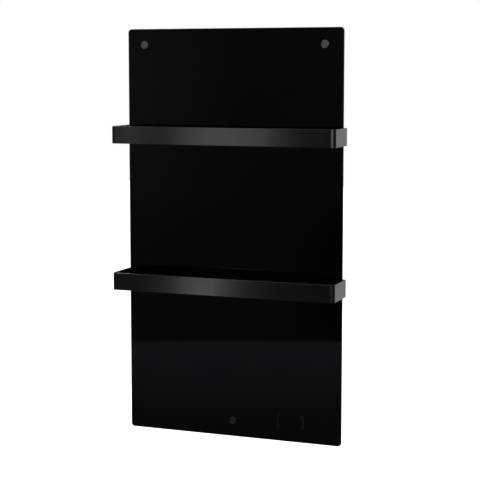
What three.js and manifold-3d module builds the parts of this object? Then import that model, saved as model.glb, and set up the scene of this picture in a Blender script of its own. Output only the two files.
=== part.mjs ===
// Infrared panel heater: a black glass radiating panel with two towel rails, hung on a wall rail.
//
// Millimetres. X runs to the right as seen from the front, Y towards the wall and Z up.
// The origin lies on the wall, at the centre of the wall rail that carries the heater.
// Inside the heater group, Z is measured up from the bottom edge of the glass.
import * as THREE from "three";
import { mergeVertices } from "three/addons/utils/BufferGeometryUtils.js";
import Module from "manifold-3d";

const wasm = await Module();
wasm.setup();

// ---------------------------------------------------------------- driving dimensions

const fitGap = 0.3; // left between parts that are laid on, slid into or screwed to each other
const overcut = 1; // how far a cutting tool reaches past the face that it opens

const wallDistance = 50; // from the wall to the front face of the glass
const hangBelowTop = 180; // from the top edge of the glass down to the middle of the wall rail

const glass = { width: 500, height: 900, thickness: 5, corner: 8, bevel: 0.8 };
const casing = { inset: 22, sheet: 1.2, flange: 15, corner: 12, wallGap: 18 };
const seal = { thickness: 0.9, width: 11, inset: 2 };
const bead = { width: 14, rise: 1.5, spacing: 140, endGap: 34 };
const vent = { length: 64, width: 3, pitch: 8, count: 5 };

const rail = {
  height: 38, thickness: 3, reach: 80, edgeGap: 3.5, frontBend: 10.5, tabBend: 6,
  upperZ: 669, lowerZ: 345.5, tabClearance: 1, screwSpread: 22,
};
const railScrew = { shank: 2, head: 3.8, headHeight: 2.2, socket: 1.45, socketDepth: 1.3 };

const cap = { radius: 9, thickness: 3.2, chamfer: 0.8, sideInset: 41, endInset: 36, stud: 3, grip: 12 };
const bush = { wall: 1.4, flange: 8, flangeThickness: 0.8 };
const pillar = { radius: 7, screwGrip: 7 };
const pillarScrew = { shank: 2, head: 4.6, headHeight: 2.4, socket: 1.75, socketDepth: 1.4 };

const film = { thickness: 0.7, sideMargin: 13, topMargin: 33, tail: 10 };
const busbar = { width: 8, thickness: 0.3, edge: 2 };
const mica = { thickness: 0.5 };
const reflector = { thickness: 0.5 };
const thermostat = { radius: 8, body: 13, stem: 4.5, x: 60, lowerZ: 320, upperZ: 560, pocket: 2 };

const controlBox = { width: 100, height: 72, wall: 2, corner: 3, floorGap: 2.8, foot: 1.7, boss: 3 };
const wiringBand = 24; // between the top of the control box and the heated zone
const board = { thickness: 1.6, margin: 1.5 };
const relay = { width: 19, height: 15.5, depth: 10, x: -28, z: -14 };
const transformer = { width: 24, height: 22, depth: 9.5, x: 18, z: 10 };
const display = { width: 44, height: 18, inset: 116.5, z: 45.5, boardWidth: 72, boardHeight: 40 };
const touchSpring = { radius: 3, spread: 29 };

const gland = {
  hex: 9.2, hexHeight: 4, dome: 7, domeTip: 5.6, domeHeight: 10, taper: 4, thread: 5.7, bore: 3.5, inset: 100,
};
const glandNut = { height: 4 };
const terminalBlock = { width: 40, height: 22, depth: 15.5, z: 66, screws: 3, screwRadius: 2.2 };
const earthScrew = { shank: 2, head: 4.4, headHeight: 3, inset: 158, z: 46 };
const sensor = { rim: 6, rimHeight: 1.4, stem: 4, stemLength: 9, boxGap: 23.5, slit: 1.2, slitDepth: 1 };

const powerSwitch = {
  z: 60, bezelWidth: 15, bezelHeight: 21.4, bezelThickness: 2, bodyWidth: 12.4, bodyHeight: 18.8,
  bodyDepth: 17, cavityDepth: 10, bladeLength: 7, bladeWidth: 6.3, bladeThickness: 0.8, bladeSpread: 10,
};
const rocker = {
  width: 8.8, halfLength: 6.9, centreHeight: 2, rootHalf: 5.2, rootDepth: 3, swing: 9, pin: 1.25, pinReach: 1,
};
const rockerClearance = 0.8; // from the rocker's ends to the cavity that it tilts in

const wallRail = { sideInset: 38, height: 40, sheet: 2, ledge: 13, lip: 14, bend: 1 };
const wallSlot = { length: 12, width: 6, endInset: 40, innerX: 60 };
const hanger = {
  sideInset: 68, sheet: 2, webHeight: 30, lipClearance: 0.5, lipFloorGap: 2.5, rivetZ: 8, rivetInset: 40,
};
const rivet = { shank: 2.4, head: 4.6, headHeight: 1.5, crown: 2.8 };
const buffer = { radius: 11, faceRadius: 9.5, taper: 3.6, stem: 3, stemLength: 3.5, sideInset: 30, z: 104 };

const wire = { radius: 1.4, step: 9, straight: 5 };
// Lanes that the leads run in: heights above the control box, and distances before and behind the middle.
const lane = { supply: 7, heater: 13, front: 4, back: 5 };

const screwCrown = { shoulder: 0.45, top: 0.72 }; // shares of a screw head's height and radius
const sides = { rod: 12, round: 20, hexagon: 6 };

// ---------------------------------------------------------------- levels that several parts share

const glassFront = -wallDistance;
const glassBack = glassFront + glass.thickness;
const flangeFront = glassBack + seal.thickness + 2 * fitGap;
const flangeBack = flangeFront + casing.sheet;
const casingBack = -casing.wallGap;
const casingFloor = casingBack - casing.sheet;
const caseHalfWidth = glass.width / 2 - casing.inset;
const caseBottom = casing.inset;
const caseTop = glass.height - casing.inset;
const caseMiddle = (flangeBack + casingBack) / 2;
const caseHeight = caseTop - caseBottom;

const displayX = glass.width / 2 - display.inset;
const boxBottom = caseBottom + casing.sheet + controlBox.floorGap;
const boxMiddle = boxBottom + controlBox.height / 2;
const coolBand = boxMiddle + controlBox.height / 2 + wiringBand; // bottom of the heated zone
const glandX = gland.inset - glass.width / 2;
const earthScrewX = earthScrew.inset - glass.width / 2;
const sensorX = displayX - controlBox.width / 2 - sensor.boxGap;

const filmBack = glassBack + fitGap + film.thickness;
const busbarBack = filmBack + fitGap + busbar.thickness;
const micaBack = busbarBack + fitGap + mica.thickness;
const reflectorBack = micaBack + fitGap + reflector.thickness;
const filmHalfWidth = caseHalfWidth - film.sideMargin;
const filmTop = caseTop - film.topMargin;
const busbarX = filmHalfWidth - busbar.edge - busbar.width / 2;

const railHalfWidth = glass.width / 2 + rail.edgeGap + rail.thickness;
const railFront = glassFront - rail.reach;
const tabFront = flangeBack + fitGap;
const tabBack = tabFront + rail.thickness;
const tabEnd = caseHalfWidth + rail.tabClearance;
const railScrewX = caseHalfWidth + casing.flange / 2;

const bushInner = cap.stud + fitGap;
const bushOuter = bushInner + bush.wall;
const glassHole = bushOuter + fitGap;
const capBack = glassFront - bush.flangeThickness - 2 * fitGap;
const capPlaces = {
  top_left: [cap.sideInset - glass.width / 2, glass.height - cap.endInset],
  top_right: [glass.width / 2 - cap.sideInset, glass.height - cap.endInset],
  bottom: [0, cap.endInset],
};

const boxFloor = casingFloor - fitGap; // the back of the control box, which lies on the casing's floor
const displayFront = glassBack + fitGap;
const mainBoardBack = boxFloor - controlBox.wall - controlBox.foot - fitGap;
const componentBase = mainBoardBack - board.thickness - fitGap;
const boxRim = componentBase - relay.depth - fitGap;
const lidFront = boxRim - fitGap - controlBox.wall;
const displayBoardBack = lidFront - fitGap;
const displayBoardFront = displayBoardBack - board.thickness;
const displayDepth = displayBoardFront - fitGap - displayFront;

const hangZ = glass.height - hangBelowTop; // height of the wall rail's middle above the bottom of the glass
const wallRailWidth = 2 * (caseHalfWidth - wallRail.sideInset);
const hangerWidth = 2 * (caseHalfWidth - hanger.sideInset);
const rivetX = hangerWidth / 2 - hanger.rivetInset;
const bufferX = caseHalfWidth - buffer.sideInset;
const wallLipFront = -wallRail.ledge;
const wallLipBack = wallLipFront + wallRail.sheet;
const wallLedgeTop = wallRail.height / 2;
const wallLipTop = wallLedgeTop - wallRail.sheet + wallRail.lip;
const hangerWebFront = casingBack + fitGap;
const hangerWebBack = hangerWebFront + hanger.sheet;
const hangerLipFront = wallLipBack + hanger.lipClearance;
const hangerLedge = wallLipTop + fitGap; // underside of the hanger's ledge, which sits on the wall rail's lip

const switchX = caseHalfWidth; // the switch's bezel seats on the casing's right wall
const bezelFace = switchX + powerSwitch.bezelThickness;
const rockerPivotX = bezelFace - rocker.centreHeight + fitGap;
const rockerTilt = THREE.MathUtils.degToRad(rocker.swing);
const cavityHalfWidth = rocker.width / 2 + fitGap;
const cavityHalfHeight = rocker.halfLength + rockerClearance;

// ---------------------------------------------------------------- materials

const paint = (color, roughness, metalness) => () =>
  new THREE.MeshStandardMaterial({ color, roughness, metalness });

const blackGlass = paint(0x08080a, 0.04, 0);
const railCoat = paint(0x1c1b1d, 0.38, 0.1);
const capMetal = paint(0x3d3d40, 0.35, 0.8);
const casingCoat = paint(0x1a1a1b, 0.55, 0);
const zincSteel = paint(0xa9abad, 0.4, 0.9);
const blackSteel = paint(0x202022, 0.4, 0.6);
const blackPlastic = paint(0x17171a, 0.5, 0);
const blackRubber = paint(0x151515, 0.8, 0);
const clearNylon = paint(0xd6d6d0, 0.5, 0);
const greenBoard = paint(0x1d4a2c, 0.5, 0);
const amberFilm = paint(0x4a3520, 0.4, 0);
const copper = paint(0xb06a3b, 0.35, 1);
const brownMica = paint(0x8c8170, 0.6, 0);
const brightFoil = paint(0xc9cbcd, 0.25, 1);
const whiteWool = paint(0xd8d4c8, 0.95, 0);
const bluePlastic = paint(0x2a4f86, 0.45, 0);
const brownSleeve = paint(0x5b3a24, 0.5, 0);
const blueSleeve = paint(0x28487c, 0.5, 0);
const redSleeve = paint(0x8a2f28, 0.5, 0);

// ---------------------------------------------------------------- solids

// A geometry as a closed solid that can be cut and joined.
function solidOf(geometry) {
  const loose = geometry.index ? geometry.toNonIndexed() : geometry;
  const bare = new THREE.BufferGeometry().setAttribute("position", loose.getAttribute("position"));
  const merged = mergeVertices(bare);
  const mesh = new wasm.Mesh({
    numProp: 3,
    vertProperties: merged.getAttribute("position").array,
    triVerts: new Uint32Array(merged.index.array),
  });
  return new wasm.Manifold(mesh);
}

function geometryOf(solid) {
  const mesh = solid.getMesh();
  return new THREE.BufferGeometry()
    .setAttribute("position", new THREE.BufferAttribute(mesh.vertProperties, mesh.numProp))
    .setIndex(new THREE.BufferAttribute(mesh.triVerts, 1));
}

const cut = (geometry, ...tools) =>
  geometryOf(tools.reduce((solid, tool) => solid.subtract(solidOf(tool)), solidOf(geometry)));

const join = (geometry, ...others) =>
  geometryOf(others.reduce((solid, other) => solid.add(solidOf(other)), solidOf(geometry)));

// ---------------------------------------------------------------- shapes

function roundedRectangle(width, height, corner) {
  const x = width / 2 - corner;
  const y = height / 2 - corner;
  const quarter = Math.PI / 2;
  const shape = new THREE.Shape();
  shape.absarc(x, y, corner, 0, quarter);
  shape.absarc(-x, y, corner, quarter, 2 * quarter);
  shape.absarc(-x, -y, corner, 2 * quarter, 3 * quarter);
  shape.absarc(x, -y, corner, 3 * quarter, 4 * quarter);
  shape.closePath();
  return shape;
}

// A slot with round ends, lying along its longer side.
function slotShape(width, height) {
  const radius = Math.min(width, height) / 2;
  const x = width / 2 - radius;
  const y = height / 2 - radius;
  const start = width > height ? -Math.PI / 2 : 0;
  const shape = new THREE.Shape();
  shape.absarc(x, y, radius, start, start + Math.PI);
  shape.absarc(-x, -y, radius, start + Math.PI, start + 2 * Math.PI);
  shape.closePath();
  return shape;
}

// A shape drawn in X and Z, standing upright and reaching from y = 0 to y = thickness.
function upright(shape, thickness, curveSegments = 3) {
  return new THREE.ExtrudeGeometry(shape, { depth: thickness, bevelEnabled: false, curveSegments })
    .rotateX(Math.PI / 2)
    .translate(0, thickness, 0);
}

const plate = (width, height, thickness, corner) =>
  upright(roundedRectangle(width, height, corner), thickness);

// A box centred in X and Z, reaching from y = 0 to y = depth.
const block = (width, depth, height) =>
  new THREE.BoxGeometry(width, depth, height).translate(0, depth / 2, 0);

// A shape drawn in Y and Z, reaching the given length along X about the middle.
function alongX(shape, length) {
  const toYZ = new THREE.Matrix4().makeBasis(
    new THREE.Vector3(0, 1, 0),
    new THREE.Vector3(0, 0, 1),
    new THREE.Vector3(1, 0, 0),
  );
  return new THREE.ExtrudeGeometry(shape, { depth: length, bevelEnabled: false })
    .translate(0, 0, -length / 2)
    .applyMatrix4(toYZ);
}

// A rod along Y from y = 0 to y = length.
const rod = (radius, length, count = sides.rod) =>
  new THREE.CylinderGeometry(radius, radius, length, count).translate(0, length / 2, 0);

// A closed outline of [radius, y] pairs, turned about Y. It runs from low y to high y on its outside.
const turned = (outline, count = sides.round) =>
  new THREE.LatheGeometry([...outline, outline[0]].map(([r, y]) => new THREE.Vector2(r, y)), count);

// A fastener along Y: its head reaches from y = 0 towards the wall and its shank away from the wall.
function socketScrew({ shank, head, headHeight, socket, socketDepth }, shankLength) {
  const body = turned([
    [0, -shankLength],
    [shank, -shankLength],
    [shank, 0],
    [head, 0],
    [head, headHeight * screwCrown.shoulder],
    [head * screwCrown.top, headHeight],
    [0, headHeight],
  ], sides.rod);
  return cut(body, rod(socket, socketDepth + overcut, sides.hexagon).translate(0, headHeight - socketDepth, 0));
}

function lead(points) {
  const section = new THREE.Shape().absarc(0, 0, wire.radius, 0, 2 * Math.PI);
  const path = new THREE.CatmullRomCurve3(points.map((p) => new THREE.Vector3(...p)));
  return new THREE.ExtrudeGeometry(section, {
    steps: Math.ceil(path.getLength() / wire.step),
    extrudePath: path,
    bevelEnabled: false,
    curveSegments: 3,
  });
}

function place(parent, name, geometry, material, x = 0, y = 0, z = 0) {
  const mesh = new THREE.Mesh(geometry, material());
  mesh.name = name;
  mesh.position.set(x, y, z);
  parent.add(mesh);
  return mesh;
}

// ---------------------------------------------------------------- glass and what holds it

function glassPanel() {
  const { width, height, thickness, corner, bevel } = glass;
  const pane = new THREE.ExtrudeGeometry(roundedRectangle(width, height, corner), {
    depth: thickness - 2 * bevel,
    bevelThickness: bevel,
    bevelSize: bevel,
    bevelOffset: -bevel,
    bevelSegments: 1,
    curveSegments: 4,
  })
    .rotateX(Math.PI / 2)
    .translate(0, thickness - bevel, height / 2);
  const holes = Object.values(capPlaces).map(([x, z]) =>
    rod(glassHole, thickness + 2 * overcut, sides.round).translate(x, -overcut, z));
  return cut(pane, ...holes);
}

function glassSeal() {
  const outer = roundedRectangle(
    2 * (caseHalfWidth + seal.inset + seal.width), caseHeight + 2 * (seal.inset + seal.width), casing.corner);
  const inner = roundedRectangle(
    2 * (caseHalfWidth + seal.inset), caseHeight + 2 * seal.inset, casing.corner);
  outer.holes.push(inner);
  return upright(outer, seal.thickness);
}

// Cap with its stud, about the stud's axis, with y = 0 at the back of the cap's head.
function capWithStud() {
  const studEnd = pillarFront - capBack + cap.grip;
  return turned([
    [0, -cap.thickness],
    [cap.radius - cap.chamfer, -cap.thickness],
    [cap.radius, cap.chamfer - cap.thickness],
    [cap.radius, 0],
    [cap.stud, 0],
    [cap.stud, studEnd],
    [0, studEnd],
  ]);
}

// Flanged sleeve that keeps the stud and the cap off the glass, with y = 0 at the front of the flange.
function capBush() {
  const length = bush.flangeThickness + fitGap + glass.thickness;
  return turned([
    [bushInner, 0],
    [bush.flange, 0],
    [bush.flange, bush.flangeThickness],
    [bushOuter, bush.flangeThickness],
    [bushOuter, length],
    [bushInner, length],
  ]);
}

const pillarFront = glassBack + fitGap;
const pillarLength = casingFloor - fitGap - pillarFront;

// Spacer that the cap's stud screws into from the front, and a screw from the back.
function glassPillar() {
  const studBore = cap.stud + fitGap;
  const screwBore = pillarScrew.shank + fitGap;
  const studDepth = pillarLength - pillar.screwGrip - fitGap;
  return turned([
    [studBore, 0],
    [pillar.radius, 0],
    [pillar.radius, pillarLength],
    [screwBore, pillarLength],
    [screwBore, studDepth],
    [studBore, studDepth],
  ]);
}

function addGlass(parent) {
  place(parent, "glass_panel", glassPanel(), blackGlass, 0, glassFront, 0);
  place(parent, "glass_seal", glassSeal(), blackRubber, 0, glassBack + fitGap, glass.height / 2);
  const screwLength = casing.sheet + pillar.screwGrip;
  for (const [corner, [x, z]] of Object.entries(capPlaces)) {
    place(parent, `glass_cap_${corner}`, capWithStud(), capMetal, x, capBack, z);
    place(parent, `cap_bush_${corner}`, capBush(), clearNylon, x, capBack + fitGap, z);
    place(parent, `glass_pillar_${corner}`, glassPillar(), zincSteel, x, pillarFront, z);
    place(parent, `pillar_screw_${corner}`, socketScrew(pillarScrew, screwLength), blackSteel,
      x, casingBack, z);
  }
}

// ---------------------------------------------------------------- rear casing

const beadTop = hangZ - wallRail.height / 2 - bead.endGap;
const beadBottom = coolBand + bead.endGap;

function beadBody(width, depth) {
  const shrink = bead.width - width;
  return upright(slotShape(width, beadTop - beadBottom - shrink), depth);
}

function ventSlots() {
  const slots = [];
  for (let i = 0; i < vent.count; i++) {
    const z = coolBand - vent.pitch * (i + 1);
    slots.push(upright(slotShape(vent.length, vent.width), casing.sheet + 2 * overcut)
      .translate(0, casingFloor - overcut, z));
  }
  return slots;
}

function railScrewPlaces() {
  const places = [];
  for (const [side, x] of [["left", -railScrewX], ["right", railScrewX]])
    for (const [level, railZ] of [["upper", rail.upperZ], ["lower", rail.lowerZ]])
      for (const [row, dz] of [["a", rail.screwSpread / 2], ["b", -rail.screwSpread / 2]])
        places.push({ name: `${level}_${side}_${row}`, x, z: railZ + dz });
  return places;
}

function rearCasing() {
  const depth = casingBack - flangeFront;
  const width = 2 * caseHalfWidth;
  const middle = glass.height / 2;
  const tub = plate(width, caseHeight, depth, casing.corner).translate(0, flangeFront, middle);
  const flange = plate(width + 2 * casing.flange, caseHeight + 2 * casing.flange, casing.sheet, casing.corner)
    .translate(0, flangeFront, middle);
  const hollowDepth = casingFloor - flangeFront + overcut;
  const hollow = plate(width - 2 * casing.sheet, caseHeight - 2 * casing.sheet, hollowDepth,
    casing.corner - casing.sheet).translate(0, flangeFront - overcut, middle);

  const beadX = [-bead.spacing, 0, bead.spacing];
  const beadMiddle = (beadTop + beadBottom) / 2;
  const beads = beadX.map((x) =>
    beadBody(bead.width, bead.rise + casing.sheet / 2).translate(x, casingBack - casing.sheet / 2, beadMiddle));
  const beadHollows = beadX.map((x) =>
    beadBody(bead.width - 2 * casing.sheet, bead.rise + overcut)
      .translate(x, casingFloor - overcut, beadMiddle));

  const drill = casing.sheet + 2 * overcut;
  const backHole = (radius, x, z, y = casingFloor) => rod(radius, drill).translate(x, y - overcut, z);
  const bottomHole = (radius, x) =>
    rod(radius, drill, sides.round).rotateX(Math.PI / 2).translate(x, caseMiddle, caseBottom - overcut);
  const switchCutout = block(drill, powerSwitch.bodyWidth + 2 * fitGap, powerSwitch.bodyHeight + 2 * fitGap)
    .translate(switchX - casing.sheet / 2, caseMiddle - powerSwitch.bodyWidth / 2 - fitGap, powerSwitch.z);
  return cut(
    join(tub, flange, ...beads),
    hollow,
    ...beadHollows,
    ...ventSlots(),
    ...Object.values(capPlaces).map(([x, z]) => backHole(pillarScrew.shank + fitGap, x, z)),
    ...railScrewPlaces().map(({ x, z }) => backHole(railScrew.shank + fitGap, x, z, flangeFront)),
    ...[-rivetX, rivetX].map((x) => backHole(rivet.shank + fitGap, x, hangZ + hanger.rivetZ)),
    ...[-bufferX, bufferX].map((x) => backHole(buffer.stem + fitGap, x, buffer.z)),
    backHole(earthScrew.shank + fitGap, earthScrewX, earthScrew.z),
    bottomHole(gland.thread + fitGap, glandX),
    bottomHole(sensor.stem + fitGap, sensorX),
    switchCutout,
  );
}

// ---------------------------------------------------------------- heating pack

function heatedSheet(thickness, bottom) {
  return block(2 * filmHalfWidth, thickness, filmTop - bottom);
}

const thermostatPockets = (depth) => [thermostat.lowerZ, thermostat.upperZ].map((z) =>
  rod(thermostat.radius + thermostat.pocket, depth + 2 * overcut, sides.round)
    .translate(thermostat.x, -overcut, z));

function pocketedSheet(thickness) {
  const sheet = heatedSheet(thickness, coolBand).translate(0, 0, (filmTop + coolBand) / 2);
  return cut(sheet, ...thermostatPockets(thickness));
}

function overheatThermostat() {
  const seat = filmBack + fitGap;
  const length = casingFloor - fitGap - seat;
  return turned([
    [0, 0],
    [thermostat.radius, 0],
    [thermostat.radius, thermostat.body],
    [thermostat.stem, thermostat.body],
    [thermostat.stem, length],
    [0, length],
  ]);
}

function addHeatingPack(parent) {
  const filmBottom = coolBand - film.tail;
  const filmFront = glassBack + fitGap;
  place(parent, "heating_film", heatedSheet(film.thickness, filmBottom), amberFilm,
    0, filmFront, (filmTop + filmBottom) / 2);
  const busbarHeight = filmTop - filmBottom - 2 * busbar.edge;
  for (const [side, x] of [["left", -busbarX], ["right", busbarX]])
    place(parent, `busbar_${side}`, block(busbar.width, busbar.thickness, busbarHeight), copper,
      x, filmBack + fitGap, (filmTop + filmBottom) / 2);
  const layers = [
    ["mica_sheet", mica.thickness, brownMica, busbarBack + fitGap],
    ["reflector_sheet", reflector.thickness, brightFoil, micaBack + fitGap],
    ["insulation_board", casingFloor - fitGap - (reflectorBack + fitGap), whiteWool, reflectorBack + fitGap],
  ];
  for (const [name, thickness, material, y] of layers)
    place(parent, name, pocketedSheet(thickness), material, 0, y, 0);
  for (const [level, z] of [["lower", thermostat.lowerZ], ["upper", thermostat.upperZ]])
    place(parent, `thermostat_${level}`, overheatThermostat(), blackPlastic,
      thermostat.x, filmBack + fitGap, z);
}

// ---------------------------------------------------------------- electronics

// Tray with four bosses for the main board, open to the front, with y = 0 at its rim.
function controlBoxBase() {
  const { width, height, wall, corner, foot } = controlBox;
  const depth = boxFloor - boxRim;
  const tray = cut(
    plate(width, height, depth, corner),
    plate(width - 2 * wall, height - 2 * wall, depth - wall + overcut, corner - wall / 2)
      .translate(0, -overcut, 0),
  );
  const bossX = width / 2 - wall - controlBox.boss - board.margin;
  const bossZ = height / 2 - wall - controlBox.boss - board.margin;
  const bosses = [[-1, -1], [1, -1], [-1, 1], [1, 1]].map(([sx, sz]) =>
    rod(controlBox.boss, foot + wall / 2).translate(sx * bossX, depth - wall - foot, sz * bossZ));
  return join(tray, ...bosses);
}

function terminalBlockBody() {
  const { width, height, depth, screws, screwRadius } = terminalBlock;
  const wells = [];
  for (let i = 0; i < screws; i++) {
    const x = ((i + 0.5) / screws - 0.5) * width;
    wells.push(rod(screwRadius, depth / 2).translate(x, -overcut, 0));
  }
  return cut(block(width, depth, height), ...wells);
}

function addElectronics(parent) {
  const { width, height, wall } = controlBox;
  const boardWidth = width - 2 * (wall + board.margin);
  const boardHeight = height - 2 * (wall + board.margin);
  place(parent, "control_box_base", controlBoxBase(), blackPlastic, displayX, boxRim, boxMiddle);
  place(parent, "control_box_lid", plate(width, height, wall, controlBox.corner), blackPlastic,
    displayX, lidFront, boxMiddle);
  place(parent, "main_board", block(boardWidth, board.thickness, boardHeight), greenBoard,
    displayX, mainBoardBack - board.thickness, boxMiddle);
  for (const [name, part, material] of [["relay", relay, bluePlastic], ["transformer", transformer, copper]])
    place(parent, name, block(part.width, part.depth, part.height), material,
      displayX + part.x, componentBase - part.depth, boxMiddle + part.z);
  place(parent, "display_board", block(display.boardWidth, board.thickness, display.boardHeight), greenBoard,
    displayX, displayBoardFront, boxBottom + display.boardHeight / 2);
  place(parent, "display_module", block(display.width, displayDepth, display.height), blackPlastic,
    displayX, displayFront, display.z);
  for (const [side, dx] of [["left", -touchSpring.spread], ["right", touchSpring.spread]])
    place(parent, `touch_spring_${side}`, rod(touchSpring.radius, displayDepth), zincSteel,
      displayX + dx, displayFront, display.z);
  place(parent, "terminal_block", terminalBlockBody(), clearNylon,
    glandX, casingFloor - fitGap - terminalBlock.depth, terminalBlock.z);
}

// Cable gland without its cable, about its own axis, with y = 0 at the casing's wall and the dome below.
function cableGland() {
  const reach = casing.sheet + glandNut.height + fitGap;
  const tip = -gland.hexHeight - gland.domeHeight;
  const hex = rod(gland.hex, gland.hexHeight, sides.hexagon).translate(0, -gland.hexHeight, 0);
  const body = turned([
    [0, tip],
    [gland.domeTip, tip],
    [gland.dome, tip + gland.taper],
    [gland.dome, -gland.hexHeight / 2],
    [gland.thread, -gland.hexHeight / 2],
    [gland.thread, reach],
    [0, reach],
  ]);
  const bore = rod(gland.bore, reach - tip + 2 * overcut, sides.round).translate(0, tip - overcut, 0);
  return cut(join(hex, body), bore);
}

const lockNut = () => cut(
  rod(gland.hex, glandNut.height, sides.hexagon),
  rod(gland.thread + fitGap, glandNut.height + 2 * overcut, sides.round).translate(0, -overcut, 0),
);

// Push-in cover of the room temperature sensor, with y = 0 at the casing's wall and its slitted rim below.
function roomSensor() {
  const { rim, rimHeight, stem, stemLength, slit, slitDepth } = sensor;
  const body = turned([
    [0, -rimHeight],
    [rim, -rimHeight],
    [rim, 0],
    [stem, 0],
    [stem, stemLength],
    [0, stemLength],
  ]);
  const slits = [-2 * slit, 0, 2 * slit].map((x) =>
    new THREE.BoxGeometry(slit, 2 * slitDepth, rim).translate(x, -rimHeight, 0));
  return cut(body, ...slits);
}

// Screw of the earth lead inside the casing: its head is on the near side of the sheet that it threads into.
function earthTerminal() {
  const { shank, head, headHeight } = earthScrew;
  const end = headHeight + casing.sheet;
  const outline = [[0, 0], [head, 0], [head, headHeight], [shank, headHeight], [shank, end], [0, end]];
  return turned(outline, sides.rod);
}

function addInlets(parent) {
  const bottomPieces = [
    ["cable_gland", cableGland(), glandX, caseBottom],
    ["gland_nut", lockNut(), glandX, caseBottom + casing.sheet],
    ["room_sensor", roomSensor(), sensorX, caseBottom],
  ];
  for (const [name, geometry, x, z] of bottomPieces)
    place(parent, name, geometry, blackPlastic, x, caseMiddle, z).rotation.x = Math.PI / 2;
  place(parent, "earth_screw", earthTerminal(), zincSteel,
    earthScrewX, casingFloor - earthScrew.headHeight, earthScrew.z);
}

// ---------------------------------------------------------------- power switch

// Housing in the heater's own frame, because its cut-outs follow the rocker's pivot.
function switchHousing() {
  const s = powerSwitch;
  const bezel = new THREE.BoxGeometry(s.bezelThickness, s.bezelWidth, s.bezelHeight)
    .translate(switchX + s.bezelThickness / 2, caseMiddle, s.z);
  const bodyOverlap = s.bezelThickness / 2;
  const body = new THREE.BoxGeometry(s.bodyDepth + bodyOverlap, s.bodyWidth, s.bodyHeight)
    .translate(switchX + (bodyOverlap - s.bodyDepth) / 2, caseMiddle, s.z);
  const bladeX = switchX - s.bodyDepth - (s.bladeLength - overcut) / 2;
  const blades = [-s.bladeSpread / 2, s.bladeSpread / 2].map((dz) =>
    new THREE.BoxGeometry(s.bladeLength + overcut, s.bladeWidth, s.bladeThickness)
      .translate(bladeX, caseMiddle, s.z + dz));
  const cavity = new THREE.BoxGeometry(s.cavityDepth + overcut, 2 * cavityHalfWidth, 2 * cavityHalfHeight)
    .translate(bezelFace + (overcut - s.cavityDepth) / 2, caseMiddle, s.z);
  const pinSeatLength = rocker.width + 2 * (rocker.pinReach + fitGap);
  const pinSeat = rod(rocker.pin + fitGap, pinSeatLength)
    .translate(rockerPivotX, caseMiddle - pinSeatLength / 2, s.z);
  return cut(join(bezel, body, ...blades), cavity, pinSeat);
}

// Rocker about its pivot axis Y, level: both halves rise outwards by the swing, so a pressed half lies level.
function rockerBody() {
  const { width, halfLength, centreHeight, rootHalf, rootDepth, pin, pinReach } = rocker;
  const endHeight = centreHeight + halfLength * Math.tan(rockerTilt);
  const outline = new THREE.Shape([
    [-rootDepth, -rootHalf],
    [0, -halfLength],
    [endHeight, -halfLength],
    [centreHeight, 0],
    [endHeight, halfLength],
    [0, halfLength],
    [-rootDepth, rootHalf],
  ].map(([x, z]) => new THREE.Vector2(x, z)));
  const pinLength = width + 2 * pinReach;
  return join(
    upright(outline, width).translate(0, -width / 2, 0),
    rod(pin, pinLength).translate(0, -pinLength / 2, 0),
  );
}

function addPowerSwitch(parent) {
  place(parent, "switch_housing", switchHousing(), blackPlastic);
  const body = place(parent, "switch_rocker", rockerBody(), blackPlastic,
    rockerPivotX, caseMiddle, powerSwitch.z);
  body.rotation.y = rockerTilt; // at rest the lower half is pressed in: switched off
}

// ---------------------------------------------------------------- wiring

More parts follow.
